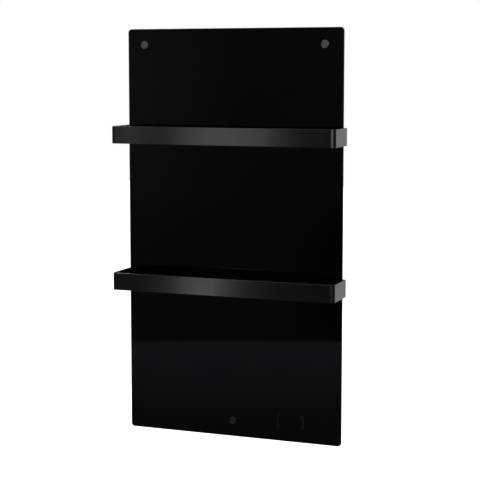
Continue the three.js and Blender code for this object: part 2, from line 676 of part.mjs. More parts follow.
function addLeads(parent) {
  const y = caseMiddle;
  const frontY = y - lane.front;
  const backY = y + lane.back;
  const boxLeft = displayX - controlBox.width / 2 - fitGap;
  const boxRight = displayX + controlBox.width / 2 + fitGap;
  const boxTop = boxBottom + controlBox.height + fitGap;
  const blockRight = glandX + terminalBlock.width / 2 + fitGap;
  const liveZ = terminalBlock.z + terminalBlock.height / 4;
  const neutralZ = terminalBlock.z - terminalBlock.height / 4;
  const bladeEnd = switchX - powerSwitch.bodyDepth - powerSwitch.bladeLength - fitGap;
  const bladeZ = powerSwitch.z + powerSwitch.bladeSpread / 2;
  const returnZ = powerSwitch.z - powerSwitch.bladeSpread / 2;
  const tailY = busbarBack + fitGap + wire.radius;
  const tailZ = coolBand - film.tail / 2;
  const supplyZ = boxTop + lane.supply;
  const heaterZ = boxTop + lane.heater;
  const exitLeft = displayX - controlBox.width * 3 / 8;
  const exitRight = displayX + controlBox.width / 4;
  const straight = wire.straight;

  place(parent, "supply_lead_live", lead([
    [blockRight, y, liveZ],
    [blockRight + 2 * straight, y, liveZ],
    [blockRight + 30, backY, liveZ + 22],
    [blockRight + 50, backY, supplyZ],
    [boxLeft, backY, supplyZ],
    [boxRight - 12, backY, supplyZ],
    [boxRight + 4, y, supplyZ - 12],
    [boxRight + 7, y, bladeZ + 9],
    [bladeEnd - straight, y, bladeZ],
    [bladeEnd, y, bladeZ],
  ]), brownSleeve);
  place(parent, "supply_lead_neutral", lead([
    [blockRight, y, neutralZ],
    [blockRight + 2 * straight, y, neutralZ],
    [blockRight + 70, y, neutralZ - 4],
    [boxLeft - 60, y, neutralZ - 4],
    [boxLeft - 2 * straight, y, neutralZ],
    [boxLeft, y, neutralZ],
  ]), blueSleeve);
  place(parent, "switch_lead", lead([
    [bladeEnd, y, returnZ],
    [bladeEnd - straight, y, returnZ],
    [(bladeEnd + boxRight) / 2, y, returnZ - 3],
    [boxRight + straight, y, returnZ],
    [boxRight, y, returnZ],
  ]), brownSleeve);
  place(parent, "heater_lead_left", lead([
    [exitLeft, frontY, boxTop],
    [exitLeft, frontY, boxTop + straight],
    [exitLeft - 9, frontY, heaterZ],
    [exitLeft - 40, frontY, heaterZ],
    [50 - busbarX, frontY, heaterZ],
    [16 - busbarX, tailY, tailZ],
    [-busbarX, tailY, tailZ],
  ]), redSleeve);
  place(parent, "heater_lead_right", lead([
    [exitRight, frontY, boxTop],
    [exitRight, frontY, boxTop + straight],
    [exitRight + 9, frontY, heaterZ],
    [busbarX - 30, frontY, heaterZ],
    [busbarX - 14, tailY, tailZ],
    [busbarX, tailY, tailZ],
  ]), redSleeve);
}

// ---------------------------------------------------------------- towel rails

// Flat bar bent round the panel, seen from above: a front bar, two legs past the glass, two tabs behind it.
function towelRailShape() {
  const quarter = Math.PI / 2;
  const shape = new THREE.Shape();
  const { thickness, frontBend, tabBend } = rail;
  const frontX = railHalfWidth - frontBend;
  const frontY = railFront + frontBend;
  const tabX = railHalfWidth - tabBend;
  const tabY = tabBack - tabBend;
  shape.moveTo(-tabEnd, tabBack);
  shape.absarc(-tabX, tabY, tabBend, quarter, 2 * quarter);
  shape.absarc(-frontX, frontY, frontBend, 2 * quarter, 3 * quarter);
  shape.absarc(frontX, frontY, frontBend, 3 * quarter, 4 * quarter);
  shape.absarc(tabX, tabY, tabBend, 0, quarter);
  shape.lineTo(tabEnd, tabBack);
  shape.lineTo(tabEnd, tabFront);
  shape.absarc(tabX, tabY, tabBend - thickness, quarter, 0, true);
  shape.absarc(frontX, frontY, frontBend - thickness, 4 * quarter, 3 * quarter, true);
  shape.absarc(-frontX, frontY, frontBend - thickness, 3 * quarter, 2 * quarter, true);
  shape.absarc(-tabX, tabY, tabBend - thickness, 2 * quarter, quarter, true);
  shape.lineTo(-tabEnd, tabFront);
  shape.closePath();
  return shape;
}

function towelRail() {
  const bar = new THREE.ExtrudeGeometry(towelRailShape(), {
    depth: rail.height,
    bevelEnabled: false,
    curveSegments: 4,
  }).translate(0, 0, -rail.height / 2);
  const holes = [];
  const drill = rail.thickness + 2 * overcut;
  for (const x of [-railScrewX, railScrewX])
    for (const dz of [-rail.screwSpread / 2, rail.screwSpread / 2])
      holes.push(rod(railScrew.shank + fitGap, drill).translate(x, tabFront - overcut, dz));
  return cut(bar, ...holes);
}

function addTowelRails(parent) {
  place(parent, "upper_towel_rail", towelRail(), railCoat, 0, 0, rail.upperZ);
  place(parent, "lower_towel_rail", towelRail(), railCoat, 0, 0, rail.lowerZ);
  const screwLength = tabBack - flangeFront;
  for (const { name, x, z } of railScrewPlaces())
    place(parent, `rail_screw_${name}`, socketScrew(railScrew, screwLength), blackSteel, x, tabBack, z);
}

// ---------------------------------------------------------------- hanging on the wall

// Folded strip as [y, z] points of its outline, from which the wall rail and the hanger are drawn.
const outlineShape = (points) => new THREE.Shape(points.map(([y, z]) => new THREE.Vector2(y, z)));

function wallRailBody() {
  const { sheet, bend, height } = wallRail;
  const bottom = -height / 2;
  const profile = outlineShape([
    [0, bottom],
    [0, wallLedgeTop - bend],
    [-bend, wallLedgeTop],
    [wallLipBack, wallLedgeTop],
    [wallLipBack, wallLipTop],
    [wallLipFront, wallLipTop],
    [wallLipFront, wallLedgeTop - sheet + bend],
    [wallLipFront + bend, wallLedgeTop - sheet],
    [-sheet, wallLedgeTop - sheet],
    [-sheet, bottom],
  ]);
  const outerX = wallRailWidth / 2 - wallSlot.endInset;
  const slots = [-outerX, -wallSlot.innerX, wallSlot.innerX, outerX].map((x) =>
    upright(slotShape(wallSlot.length, wallSlot.width), sheet + 2 * overcut)
      .translate(x, -sheet - overcut, 0));
  return cut(alongX(profile, wallRailWidth), ...slots);
}

function hangerRailBody() {
  const { sheet, webHeight, lipFloorGap, rivetZ } = hanger;
  const ledgeTop = hangerLedge + sheet;
  const lipEnd = wallLedgeTop + lipFloorGap;
  const lipBack = hangerLipFront + sheet;
  const profile = outlineShape([
    [hangerWebFront, ledgeTop - webHeight],
    [hangerWebBack, ledgeTop - webHeight],
    [hangerWebBack, hangerLedge],
    [hangerLipFront, hangerLedge],
    [hangerLipFront, lipEnd],
    [lipBack, lipEnd],
    [lipBack, ledgeTop - wallRail.bend],
    [lipBack - wallRail.bend, ledgeTop],
    [hangerWebFront + wallRail.bend, ledgeTop],
    [hangerWebFront, ledgeTop - wallRail.bend],
  ]);
  const holes = [-rivetX, rivetX].map((x) =>
    rod(rivet.shank + fitGap, sheet + 2 * overcut).translate(x, hangerWebFront - overcut, rivetZ));
  return cut(alongX(profile, hangerWidth), ...holes);
}

function blindRivet() {
  const { shank, head, headHeight, crown } = rivet;
  const end = -(hanger.sheet + fitGap + casing.sheet);
  const outline = [[0, end], [shank, end], [shank, 0], [head, 0], [crown, headHeight], [0, headHeight]];
  return turned(outline, sides.rod);
}

// Rubber foot that keeps the lower half of the heater off the wall, with y = 0 at the casing's back.
function wallBuffer() {
  const { radius, faceRadius, taper, stem, stemLength } = buffer;
  const length = casing.wallGap;
  return turned([
    [0, -stemLength],
    [stem, -stemLength],
    [stem, fitGap],
    [radius, fitGap],
    [radius, length - taper],
    [faceRadius, length],
    [0, length],
  ]);
}

function addHanger(parent) {
  place(parent, "hanger_rail", hangerRailBody(), zincSteel, 0, 0, hangZ);
  for (const [side, sign] of [["left", -1], ["right", 1]]) {
    place(parent, `hanger_rivet_${side}`, blindRivet(), zincSteel,
      sign * rivetX, hangerWebBack, hangZ + hanger.rivetZ);
    place(parent, `wall_buffer_${side}`, wallBuffer(), blackRubber, sign * bufferX, casingBack, buffer.z);
  }
}

// ---------------------------------------------------------------- the assembly

const heater = new THREE.Group();
heater.position.z = -hangZ;
addGlass(heater);
place(heater, "rear_casing", rearCasing(), casingCoat);
addHeatingPack(heater);
addElectronics(heater);
addInlets(heater);
addPowerSwitch(heater);
addLeads(heater);
addTowelRails(heater);
addHanger(heater);

const assembly = new THREE.Group();
place(assembly, "wall_rail", wallRailBody(), zincSteel);
assembly.add(heater);

export default assembly;
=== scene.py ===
# Looks of the infrared panel heater: a black glass radiating panel with two towel rails.
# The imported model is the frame: X to the right, Y towards the wall, Z up, origin on the wall
# at the middle of the wall rail. Lengths in this file are millimetres unless a name says metres.
import math

import bmesh
import bpy
from mathutils import Matrix, Vector
from mathutils.geometry import delaunay_2d_cdt


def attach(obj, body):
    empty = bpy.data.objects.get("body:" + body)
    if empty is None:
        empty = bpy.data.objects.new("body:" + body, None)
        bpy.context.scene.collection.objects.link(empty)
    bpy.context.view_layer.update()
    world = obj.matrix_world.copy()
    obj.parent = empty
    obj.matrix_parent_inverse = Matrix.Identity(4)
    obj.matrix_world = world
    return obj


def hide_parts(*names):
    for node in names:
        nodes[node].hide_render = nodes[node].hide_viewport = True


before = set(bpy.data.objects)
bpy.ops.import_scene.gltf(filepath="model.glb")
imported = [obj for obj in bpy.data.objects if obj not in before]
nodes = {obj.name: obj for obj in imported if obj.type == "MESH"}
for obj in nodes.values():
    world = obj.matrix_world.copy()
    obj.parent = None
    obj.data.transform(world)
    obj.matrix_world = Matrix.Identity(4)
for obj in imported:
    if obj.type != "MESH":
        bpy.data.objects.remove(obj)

MM = 0.001
scene = bpy.context.scene
scene.view_settings.view_transform = "Standard"
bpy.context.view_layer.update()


# ---------------------------------------------------------------- camera

# Fitted to the corners of the glass and of the towel rails in the photograph; angles in radians.
CAMERA_METRES = (1.1156, -2.88635, 0.09088)
CAMERA_YAW, CAMERA_PITCH = 0.36979, 0.10557
FOCAL_PIXELS, SHIFT_PIXELS, PICTURE_PIXELS = 1400.84, -22, 480
FILM_WIDTH = 36.0
CLIP_METRES = (0.05, 60)

camera_data = bpy.data.cameras.new("camera")
camera_data.sensor_width = FILM_WIDTH
camera_data.lens = FOCAL_PIXELS / PICTURE_PIXELS * FILM_WIDTH
camera_data.shift_y = SHIFT_PIXELS / PICTURE_PIXELS
camera_data.clip_start, camera_data.clip_end = CLIP_METRES
camera = bpy.data.objects.new("camera", camera_data)
camera.location = CAMERA_METRES
camera.rotation_euler = (math.pi / 2 - CAMERA_PITCH, 0, CAMERA_YAW)
scene.collection.objects.link(camera)
scene.camera = camera


# ---------------------------------------------------------------- node graphs

class Graph:
    """Builds a node tree. An input given as a socket is linked, any other value is set."""

    def __init__(self, tree):
        self.tree = tree
        tree.nodes.clear()

    def node(self, kind, inputs=(), **settings):
        made = self.tree.nodes.new("ShaderNode" + kind)
        for key, value in settings.items():
            setattr(made, key, value)
        for key, value in dict(inputs).items():
            if isinstance(value, bpy.types.NodeSocket):
                self.tree.links.new(value, made.inputs[key])
            else:
                made.inputs[key].default_value = value
        return made

    def math(self, operation, *values):
        return self.node("Math", enumerate(values), operation=operation).outputs[0]

    def remap(self, value, low, high, to_low=0.0, to_high=1.0, smooth=True):
        inputs = {"Value": value, "From Min": low, "From Max": high, "To Min": to_low, "To Max": to_high}
        kind = "SMOOTHSTEP" if smooth else "LINEAR"
        return self.node("MapRange", inputs, interpolation_type=kind, clamp=True).outputs["Result"]

    def mix(self, share, first, second, blend="MIX"):
        made = self.node("Mix", {0: share, 6: first, 7: second}, data_type="RGBA", blend_type=blend)
        return made.outputs[2]

    def ramp(self, value, stops):
        """A ramp through (position, grey or colour) stops."""
        made = self.node("ValToRGB", {"Fac": value})
        elements = made.color_ramp.elements
        while len(elements) < len(stops):
            elements.new(0.5)
        for element, (position, tone) in zip(elements, stops):
            element.position = position
            element.color = (tone, tone, tone, 1) if isinstance(tone, float) else (*tone, 1)
        return made.outputs["Color"]

    def place(self, stretch=(1, 1, 1)):
        """The piece's own coordinates in metres, stretched."""
        own = self.node("TexCoord").outputs["Object"]
        if stretch == (1, 1, 1):
            return own
        return self.node("VectorMath", {0: own, 1: stretch}, operation="MULTIPLY").outputs[0]

    def noise(self, where, scale, detail=3.0, rough=0.5):
        inputs = {"Vector": where, "Scale": scale, "Detail": detail, "Roughness": rough}
        return self.node("TexNoise", inputs).outputs["Fac"]

    def edges(self, radius_metres):
        """1 along the edges of the piece and 0 on its flats."""
        round_normal = self.node("Bevel", {"Radius": radius_metres}, samples=4).outputs["Normal"]
        true_normal = self.node("NewGeometry").outputs["Normal"]
        agree = self.node("VectorMath", {0: round_normal, 1: true_normal}, operation="DOT_PRODUCT")
        return self.remap(agree.outputs["Value"], 0.995, 0.86)


def painted(name, colour, rough, *, shade=None, patch=18.0, grain=900.0, relief=0.00004, spread=0.06,
            stretch=(1, 1, 1), wear=None, wear_share=0.5, edge=0.0006, pattern=None, **shader):
    """A material whose colour drifts in patches, with a fine grain in its surface and worn edges.

    pattern(graph, where, grain) may give the colour share and the height of the material's own figure."""
    made = bpy.data.materials.new(name)
    made.use_nodes = True
    g = Graph(made.node_tree)
    where = g.place(stretch)
    drift = g.remap(g.noise(where, patch, 4), 0.3, 0.7)
    fine = g.noise(where, grain, 2)
    base = (*colour, 1)
    other = (*(shade or [c * 0.75 for c in colour]), 1)
    tone = g.mix(drift, base, other)
    height = fine
    if pattern:
        share, height = pattern(g, where, fine)
        tone = g.mix(share, tone, other)
    if wear:
        worn = g.math("MULTIPLY", g.edges(edge), g.remap(g.noise(where, 160, 5), 0.38, 0.62))
        tone = g.mix(g.math("MULTIPLY", worn, wear_share), tone, (*wear, 1))
    roughness = g.remap(g.math("ADD", g.math("MULTIPLY", drift, 0.5), g.math("MULTIPLY", fine, 0.5)),
                        0.2, 0.8, rough - spread, rough + spread, smooth=False)
    bump = g.node("Bump", {"Height": height, "Distance": relief, "Strength": 1.0})
    inputs = {"Base Color": tone, "Roughness": roughness, "Normal": bump.outputs["Normal"], **shader}
    principled = g.node("BsdfPrincipled", inputs)
    g.node("OutputMaterial", {"Surface": principled.outputs[0]})
    return made


# ---------------------------------------------------------------- figures of the materials

def turned_rings(pitch_metres):
    """Fine concentric turning marks about the piece's own Y axis."""
    def figure(g, where, fine):
        flat = g.node("VectorMath", {0: where, 1: (1, 0, 1)}, operation="MULTIPLY").outputs[0]
        radius = g.node("VectorMath", {0: flat}, operation="LENGTH").outputs["Value"]
        turns = g.math("SINE", g.math("MULTIPLY", radius, 2 * math.pi / pitch_metres))
        uneven = g.noise(g.node("CombineXYZ", {"X": radius}).outputs[0], 9000, 1)
        height = g.math("ADD", g.math("MULTIPLY", turns, 0.5), uneven)
        return g.remap(uneven, 0.35, 0.7, 0.0, 0.35), height
    return figure


def spangle(g, where, fine):
    """The faint crystals of a zinc coating."""
    cells = g.node("TexVoronoi", {"Vector": where, "Scale": 210.0}, feature="F1")
    crystal = g.node("SeparateColor", {"Color": cells.outputs["Color"]}).outputs[0]
    return g.remap(crystal, 0.1, 0.9, 0.0, 0.8), g.math("ADD", fine, g.math("MULTIPLY", crystal, 0.6))


def board_tracks(g, where, fine):
    """Copper tracks under the lacquer of a circuit board."""
    flat = g.node("VectorMath", {0: where, 1: (1, 0, 1)}, operation="MULTIPLY").outputs[0]
    cells = g.node("TexVoronoi", {"Vector": flat, "Scale": 260.0}, feature="F1", distance="CHEBYCHEV")
    lines = g.math("PINGPONG", g.math("MULTIPLY", cells.outputs["Distance"], 5.0), 0.5)
    track = g.remap(lines, 0.26, 0.3)
    return g.math("MULTIPLY", track, 0.8), g.math("ADD", track, g.math("MULTIPLY", fine, 0.3))


def film_stripes(g, where, fine):
    """Resistive stripes between the busbars of the heating film."""
    height = g.node("SeparateXYZ", {"Vector": where}).outputs["Z"]
    stripe = g.remap(g.math("SINE", g.math("MULTIPLY", height, 2 * math.pi / 0.012)), -0.2, 0.1)
    return g.math("MULTIPLY", stripe, 0.9), g.math("ADD", stripe, g.math("MULTIPLY", fine, 0.4))


def fibres(g, where, fine):
    """Matted fibres."""
    bend = g.node("TexNoise", {"Vector": where, "Scale": 60.0, "Detail": 2.0}).outputs["Color"]
    inputs = {0: bend, 1: (0.02, 0.02, 0.02), 2: where}
    bent = g.node("VectorMath", inputs, operation="MULTIPLY_ADD").outputs[0]
    strands = g.noise(g.node("VectorMath", {0: bent, 1: (1, 1, 7)}, operation="MULTIPLY").outputs[0], 700, 4)
    return g.remap(strands, 0.35, 0.75, 0.0, 0.9), g.math("ADD", strands, fine)


def flakes(g, where, fine):
    """Pressed mica scales."""
    cells = g.node("TexVoronoi", {"Vector": where, "Scale": 330.0}, feature="F1")
    tone = g.node("SeparateColor", {"Color": cells.outputs["Color"]}).outputs[1]
    return g.remap(tone, 0.0, 1.0, 0.0, 0.8), g.math("ADD", tone, g.math("MULTIPLY", fine, 0.4))


def crumple(g, where, fine):
    """Folds of a thin foil."""
    cells = g.node("TexVoronoi", {"Vector": where, "Scale": 90.0}, feature="DISTANCE_TO_EDGE")
    fold = g.remap(cells.outputs["Distance"], 0.0, 0.12)
    return g.math("MULTIPLY", fold, 0.2), g.math("ADD", fold, g.math("MULTIPLY", fine, 0.3))


METAL, SATIN_EDGE = {"Metallic": 1.0}, (0.16, 0.16, 0.165)
looks = {
    "black_glass": painted(
        "black_glass", (0.0007, 0.0007, 0.0008), 0.02, shade=(0.0005, 0.0005, 0.0006), patch=6,
        grain=14, relief=0.0000006, spread=0.008, IOR=1.5),
    "glass_edge": painted(
        "glass_edge", (0.004, 0.006, 0.0055), 0.09, shade=(0.002, 0.003, 0.003), patch=40,
        grain=700, relief=0.000004, spread=0.03, IOR=1.52),
    "glass_enamel": painted(
        "glass_enamel", (0.006, 0.006, 0.0065), 0.34, shade=(0.004, 0.004, 0.004), grain=2600,
        relief=0.000006),
    "rail_coat": painted(
        "rail_coat", (0.002, 0.002, 0.0022), 0.16, shade=(0.0014, 0.0014, 0.0016), patch=25, grain=1500,
        relief=0.000008, spread=0.015, wear=(0.03, 0.03, 0.031), edge=0.0005),
    "cap_metal": painted(
        "cap_metal", (0.62, 0.62, 0.63), 0.2, shade=(0.52, 0.52, 0.53), patch=60, relief=0.000006,
        pattern=turned_rings(0.00045), **METAL),
    # Darker copies of the cap's metal and rim for the bottom cap: painted shade, because that cap gets less
    # light than the top caps.
    "cap_metal_dark": painted(
        "cap_metal_dark", (0.24, 0.24, 0.245), 0.22, shade=(0.18, 0.18, 0.185), patch=60, relief=0.000006,
        pattern=turned_rings(0.00045), **METAL),
    "cap_rim": painted(
        "cap_rim", (0.11, 0.11, 0.112), 0.3, shade=(0.08, 0.08, 0.082), patch=150, grain=2600,
        relief=0.000006, wear=(0.2, 0.2, 0.2), wear_share=0.3, edge=0.0002, **METAL),
    "cap_rim_dark": painted(
        "cap_rim_dark", (0.022, 0.022, 0.023), 0.3, shade=(0.016, 0.016, 0.017), patch=150, grain=2600,
        relief=0.000006, wear=(0.05, 0.05, 0.05), wear_share=0.3, edge=0.0002, **METAL),
    "casing_coat": painted(
        "casing_coat", (0.028, 0.028, 0.029), 0.5, shade=(0.0235, 0.0235, 0.0245), patch=12, grain=1300,
        relief=0.00006, wear=SATIN_EDGE, edge=0.0006),
    "zinc_steel": painted(
        "zinc_steel", (0.56, 0.57, 0.58), 0.38, shade=(0.4, 0.41, 0.42), patch=30, grain=1800,
        relief=0.00001, pattern=spangle, wear=(0.75, 0.76, 0.77), **METAL),
    "black_steel": painted(
        "black_steel", (0.09, 0.09, 0.095), 0.36, shade=(0.05, 0.05, 0.052), patch=200, grain=3000,
        relief=0.000008, wear=(0.42, 0.42, 0.43), edge=0.0002, Metallic=0.9),
    "black_plastic": painted(
        "black_plastic", (0.022, 0.022, 0.023), 0.45, shade=(0.016, 0.016, 0.017), patch=90, grain=4200,
        relief=0.00001, wear=(0.07, 0.07, 0.072), edge=0.0002),
    "black_rubber": painted(
        "black_rubber", (0.011, 0.011, 0.011), 0.78, shade=(0.016, 0.016, 0.0155), patch=70, grain=2400,
        relief=0.00003, wear=(0.06, 0.06, 0.058), edge=0.0004),
    "clear_nylon": painted(
        "clear_nylon", (0.72, 0.72, 0.67), 0.42, shade=(0.62, 0.61, 0.55), patch=120, grain=2500,
        relief=0.00001, **{"Subsurface Weight": 0.3, "Subsurface Scale": 0.002}),
    "green_board": painted(
        "green_board", (0.02, 0.11, 0.045), 0.36, shade=(0.05, 0.2, 0.08), patch=50, grain=2000,
        relief=0.00002, pattern=board_tracks),
    "amber_film": painted(
        "amber_film", (0.3, 0.14, 0.03), 0.3, shade=(0.03, 0.028, 0.027), patch=25, grain=1200,
        relief=0.00002, pattern=film_stripes),
    "copper": painted(
        "copper", (0.72, 0.36, 0.2), 0.32, shade=(0.5, 0.23, 0.12), patch=140, grain=1500,
        relief=0.00001, stretch=(1, 1, 0.1), wear=(0.85, 0.5, 0.32), edge=0.0002, **METAL),
    "brown_mica": painted(
        "brown_mica", (0.42, 0.36, 0.28), 0.5, shade=(0.3, 0.25, 0.18), grain=1500, relief=0.00003,
        pattern=flakes),
    "bright_foil": painted(
        "bright_foil", (0.85, 0.86, 0.87), 0.22, shade=(0.75, 0.76, 0.77), grain=900, relief=0.0002,
        pattern=crumple, **METAL),
    "white_wool": painted(
        "white_wool", (0.78, 0.74, 0.66), 0.9, shade=(0.66, 0.61, 0.52), grain=1200, relief=0.0004,
        pattern=fibres, **{"Sheen Weight": 0.3}),
    "blue_plastic": painted(
        "blue_plastic", (0.03, 0.1, 0.32), 0.34, shade=(0.025, 0.08, 0.26), patch=120, grain=3000,
        relief=0.00001),
    "brown_sleeve": painted(
        "brown_sleeve", (0.16, 0.07, 0.03), 0.42, shade=(0.12, 0.05, 0.02), patch=120, grain=2500,
        relief=0.00001),
    "blue_sleeve": painted(
        "blue_sleeve", (0.03, 0.08, 0.3), 0.42, shade=(0.02, 0.06, 0.24), patch=120, grain=2500,
        relief=0.00001),
    "red_sleeve": painted(
        "red_sleeve", (0.2, 0.02, 0.014), 0.5, shade=(0.16, 0.014, 0.01), patch=120, grain=2500,
        relief=0.00002),
    "grey_ink": painted(
        "grey_ink", (0.0085, 0.0085, 0.009), 0.2, shade=(0.006, 0.006, 0.0065), patch=300, grain=3000,
        relief=0.000002),
    "white_ink": painted(
        "white_ink", (0.7, 0.7, 0.69), 0.45, shade=(0.6, 0.6, 0.59), patch=500, grain=5000,
        relief=0.000005),
}


# ---------------------------------------------------------------- meshes

def arc(centre, radius, start, end, steps):
    """Points on an arc in a plane; angles in degrees."""
    angles = [math.radians(start + (end - start) * i / steps) for i in range(steps + 1)]
    return [(centre[0] + radius * math.cos(a), centre[1] + radius * math.sin(a)) for a in angles]


def rounded(half_x, half_z, corner, y, middle=(0, 0), steps=8):
    """A ring in the shape of a rounded rectangle standing in X and Z."""
    x, z = half_x - corner, half_z - corner
    ring = []
    for quarter, (side, level) in enumerate(((1, 1), (-1, 1), (-1, -1), (1, -1))):
        ring += arc((side * x, level * z), corner, 90 * quarter, 90 * quarter + 90, steps)
    return [(middle[0] + u, y, middle[1] + w) for u, w in ring]


def circle(radius, y, middle=(0, 0), steps=32):
    angles = [2 * math.pi * i / steps for i in range(steps)]
    return [(middle[0] + radius * math.cos(a), y, middle[1] + radius * math.sin(a)) for a in angles]


def lies_inside(point, loop):
    hits = False
    for (x1, z1), (x2, z2) in zip(loop, loop[1:] + loop[:1]):
        if (z1 > point[1]) != (z2 > point[1]) and point[0] < (x2 - x1) * (point[1] - z1) / (z2 - z1) + x1:
            hits = not hits
    return hits


class Shell:
    """A mesh in the making."""

    def __init__(self):
        self.points, self.faces, self.finish = [], [], []

    def face(self, corners, finish=0):
        self.faces.append(tuple(corners))
        self.finish.append(finish)

    def ring(self, points):
        first = len(self.points)
        self.points.extend(points)
        return list(range(first, len(self.points)))

    def bridge(self, one, other, finish=0):
        for i in range(len(one)):
            j = (i + 1) % len(one)
            self.face((one[i], one[j], other[j], other[i]), finish)

    def loft(self, rings, finish=0, start=None):
        """Joins rings of points one after another, and gives the first and last ring."""
        made = [start] if start else []
        made += [self.ring(points) for points in rings]
        for one, other in zip(made, made[1:]):
            self.bridge(one, other, finish)
        return made[0], made[-1]

    def fill(self, rim, holes=(), finish=0):
        """Fills a flat upright face between its rim and its holes."""
        loops = [rim, *holes]
        order = [i for loop in loops for i in loop]
        flat = [(self.points[i][0], self.points[i][2]) for i in order]
        edges, outlines, first = [], [], 0
        for loop in loops:
            count = len(loop)
            edges += [(first + k, first + (k + 1) % count) for k in range(count)]
            outlines.append(flat[first:first + count])
            first += count
        made = delaunay_2d_cdt([Vector(p) for p in flat], edges, [], 0, 1e-6)
        for triangle in made[2]:
            corners = [order[made[3][k][0]] for k in triangle]
            middle = [sum(self.points[i][axis] for i in corners) / 3 for axis in (0, 2)]
            if lies_inside(middle, outlines[0]) and not any(lies_inside(middle, o) for o in outlines[1:]):
                self.face(corners, finish)

    def mesh(self, name):
        made = bpy.data.meshes.new(name)
        made.from_pydata([[c * MM for c in p] for p in self.points], [], self.faces)
        made.polygons.foreach_set("material_index", self.finish)
        edit = bmesh.new()
        edit.from_mesh(made)
        bmesh.ops.remove_doubles(edit, verts=edit.verts, dist=1e-7)
        bmesh.ops.recalc_face_normals(edit, faces=edit.faces)
        edit.to_mesh(made)
        edit.free()
        return made


def shade(piece, crease=32, bevel=0.0, bevel_angle=50):
    """Smooth shading with crisp creases and true flats, after an optional small bevel."""
    mesh = piece.data
    mesh.polygons.foreach_set("use_smooth", [True] * len(mesh.polygons))
    if bevel:
        rounding = piece.modifiers.new("rounding", "BEVEL")
        rounding.width, rounding.segments = bevel * MM, 3
        rounding.limit_method, rounding.angle_limit = "ANGLE", math.radians(bevel_angle)
    else:
        mesh.set_sharp_from_angle(angle=math.radians(crease))
    flats = piece.modifiers.new("flats", "WEIGHTED_NORMAL")
    flats.keep_sharp, flats.weight = not bevel, 80


def piece(name, shell, finishes, *, body="heater", stands_for=None, slot=None, place=(0, 0, 0),
          turn=(0, 0, 0), carve=None, **shading):
    """Puts a shell into the scene as a piece that rides on a body, after cutting carve out of it."""
    made = bpy.data.objects.new(name, shell.mesh(name))
    scene.collection.objects.link(made)
    if carve:
        tool = bpy.data.objects.new("tool", carve.mesh("tool"))
        scene.collection.objects.link(tool)
        cutting = made.modifiers.new("cutting", "BOOLEAN")
        cutting.object, cutting.solver = tool, "EXACT"
        bpy.context.view_layer.update()
        carved = bpy.data.meshes.new_from_object(made.evaluated_get(bpy.context.evaluated_depsgraph_get()))
        made.modifiers.clear()
        made.data = carved
        carved.name = name
        bpy.data.objects.remove(tool)
    made.data.materials.clear()
    for finish in [finishes] if isinstance(finishes, str) else finishes:
        made.data.materials.append(looks[finish])
    shade(made, **shading)
    about_x, about_y, about_z = (
        Matrix.Rotation(math.radians(angle), 3, axis) for angle, axis in zip(turn, "XYZ"))
    made.matrix_world = Matrix.LocRotScale(Vector(place) * MM, about_x @ about_y @ about_z, None)
    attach(made, body)
    if stands_for:
        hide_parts(*([stands_for] if isinstance(stands_for, str) else stands_for))
    return made


def hexagon(angle):
    """Makes a turned ring six-sided, with its corners at the radius."""
    return math.cos(math.pi / 6) / math.cos(angle % (math.pi / 3) - math.pi / 6)


FLUTES, FLUTE_DEPTH = 18, 0.022


def fluted(angle):
    """Gives a turned ring shallow grip flutes."""
    return 1 + FLUTE_DEPTH * math.cos(FLUTES * angle)


def turned(outline, steps=48):
    """Turns (radius, y) pairs about the Y axis. A third entry shapes that ring's radius by its angle.

    An outline that ends on the axis is closed there, and one that doesn't closes onto its start."""
    shell = Shell()
    rings = []
    for radius, y, *form in outline:
        if radius == 0:
            rings.append(shell.ring([(0, y, 0)]))
            continue
        points = []
        for i in range(steps):
            angle = 2 * math.pi * i / steps
            reach = radius * (form[0](angle) if form else 1)
            points.append((reach * math.cos(angle), y, reach * math.sin(angle)))
        rings.append(shell.ring(points))
    if outline[0][0]:
        rings.append(rings[0])
    for one, other in zip(rings, rings[1:]):
        if len(one) == 1 or len(other) == 1:
            tip, rim = (one[0], other) if len(one) == 1 else (other[0], one)
            for i in range(len(rim)):
                shell.face((tip, rim[i], rim[(i + 1) % len(rim)]))
        else:
            shell.bridge(one, other)
    return shell


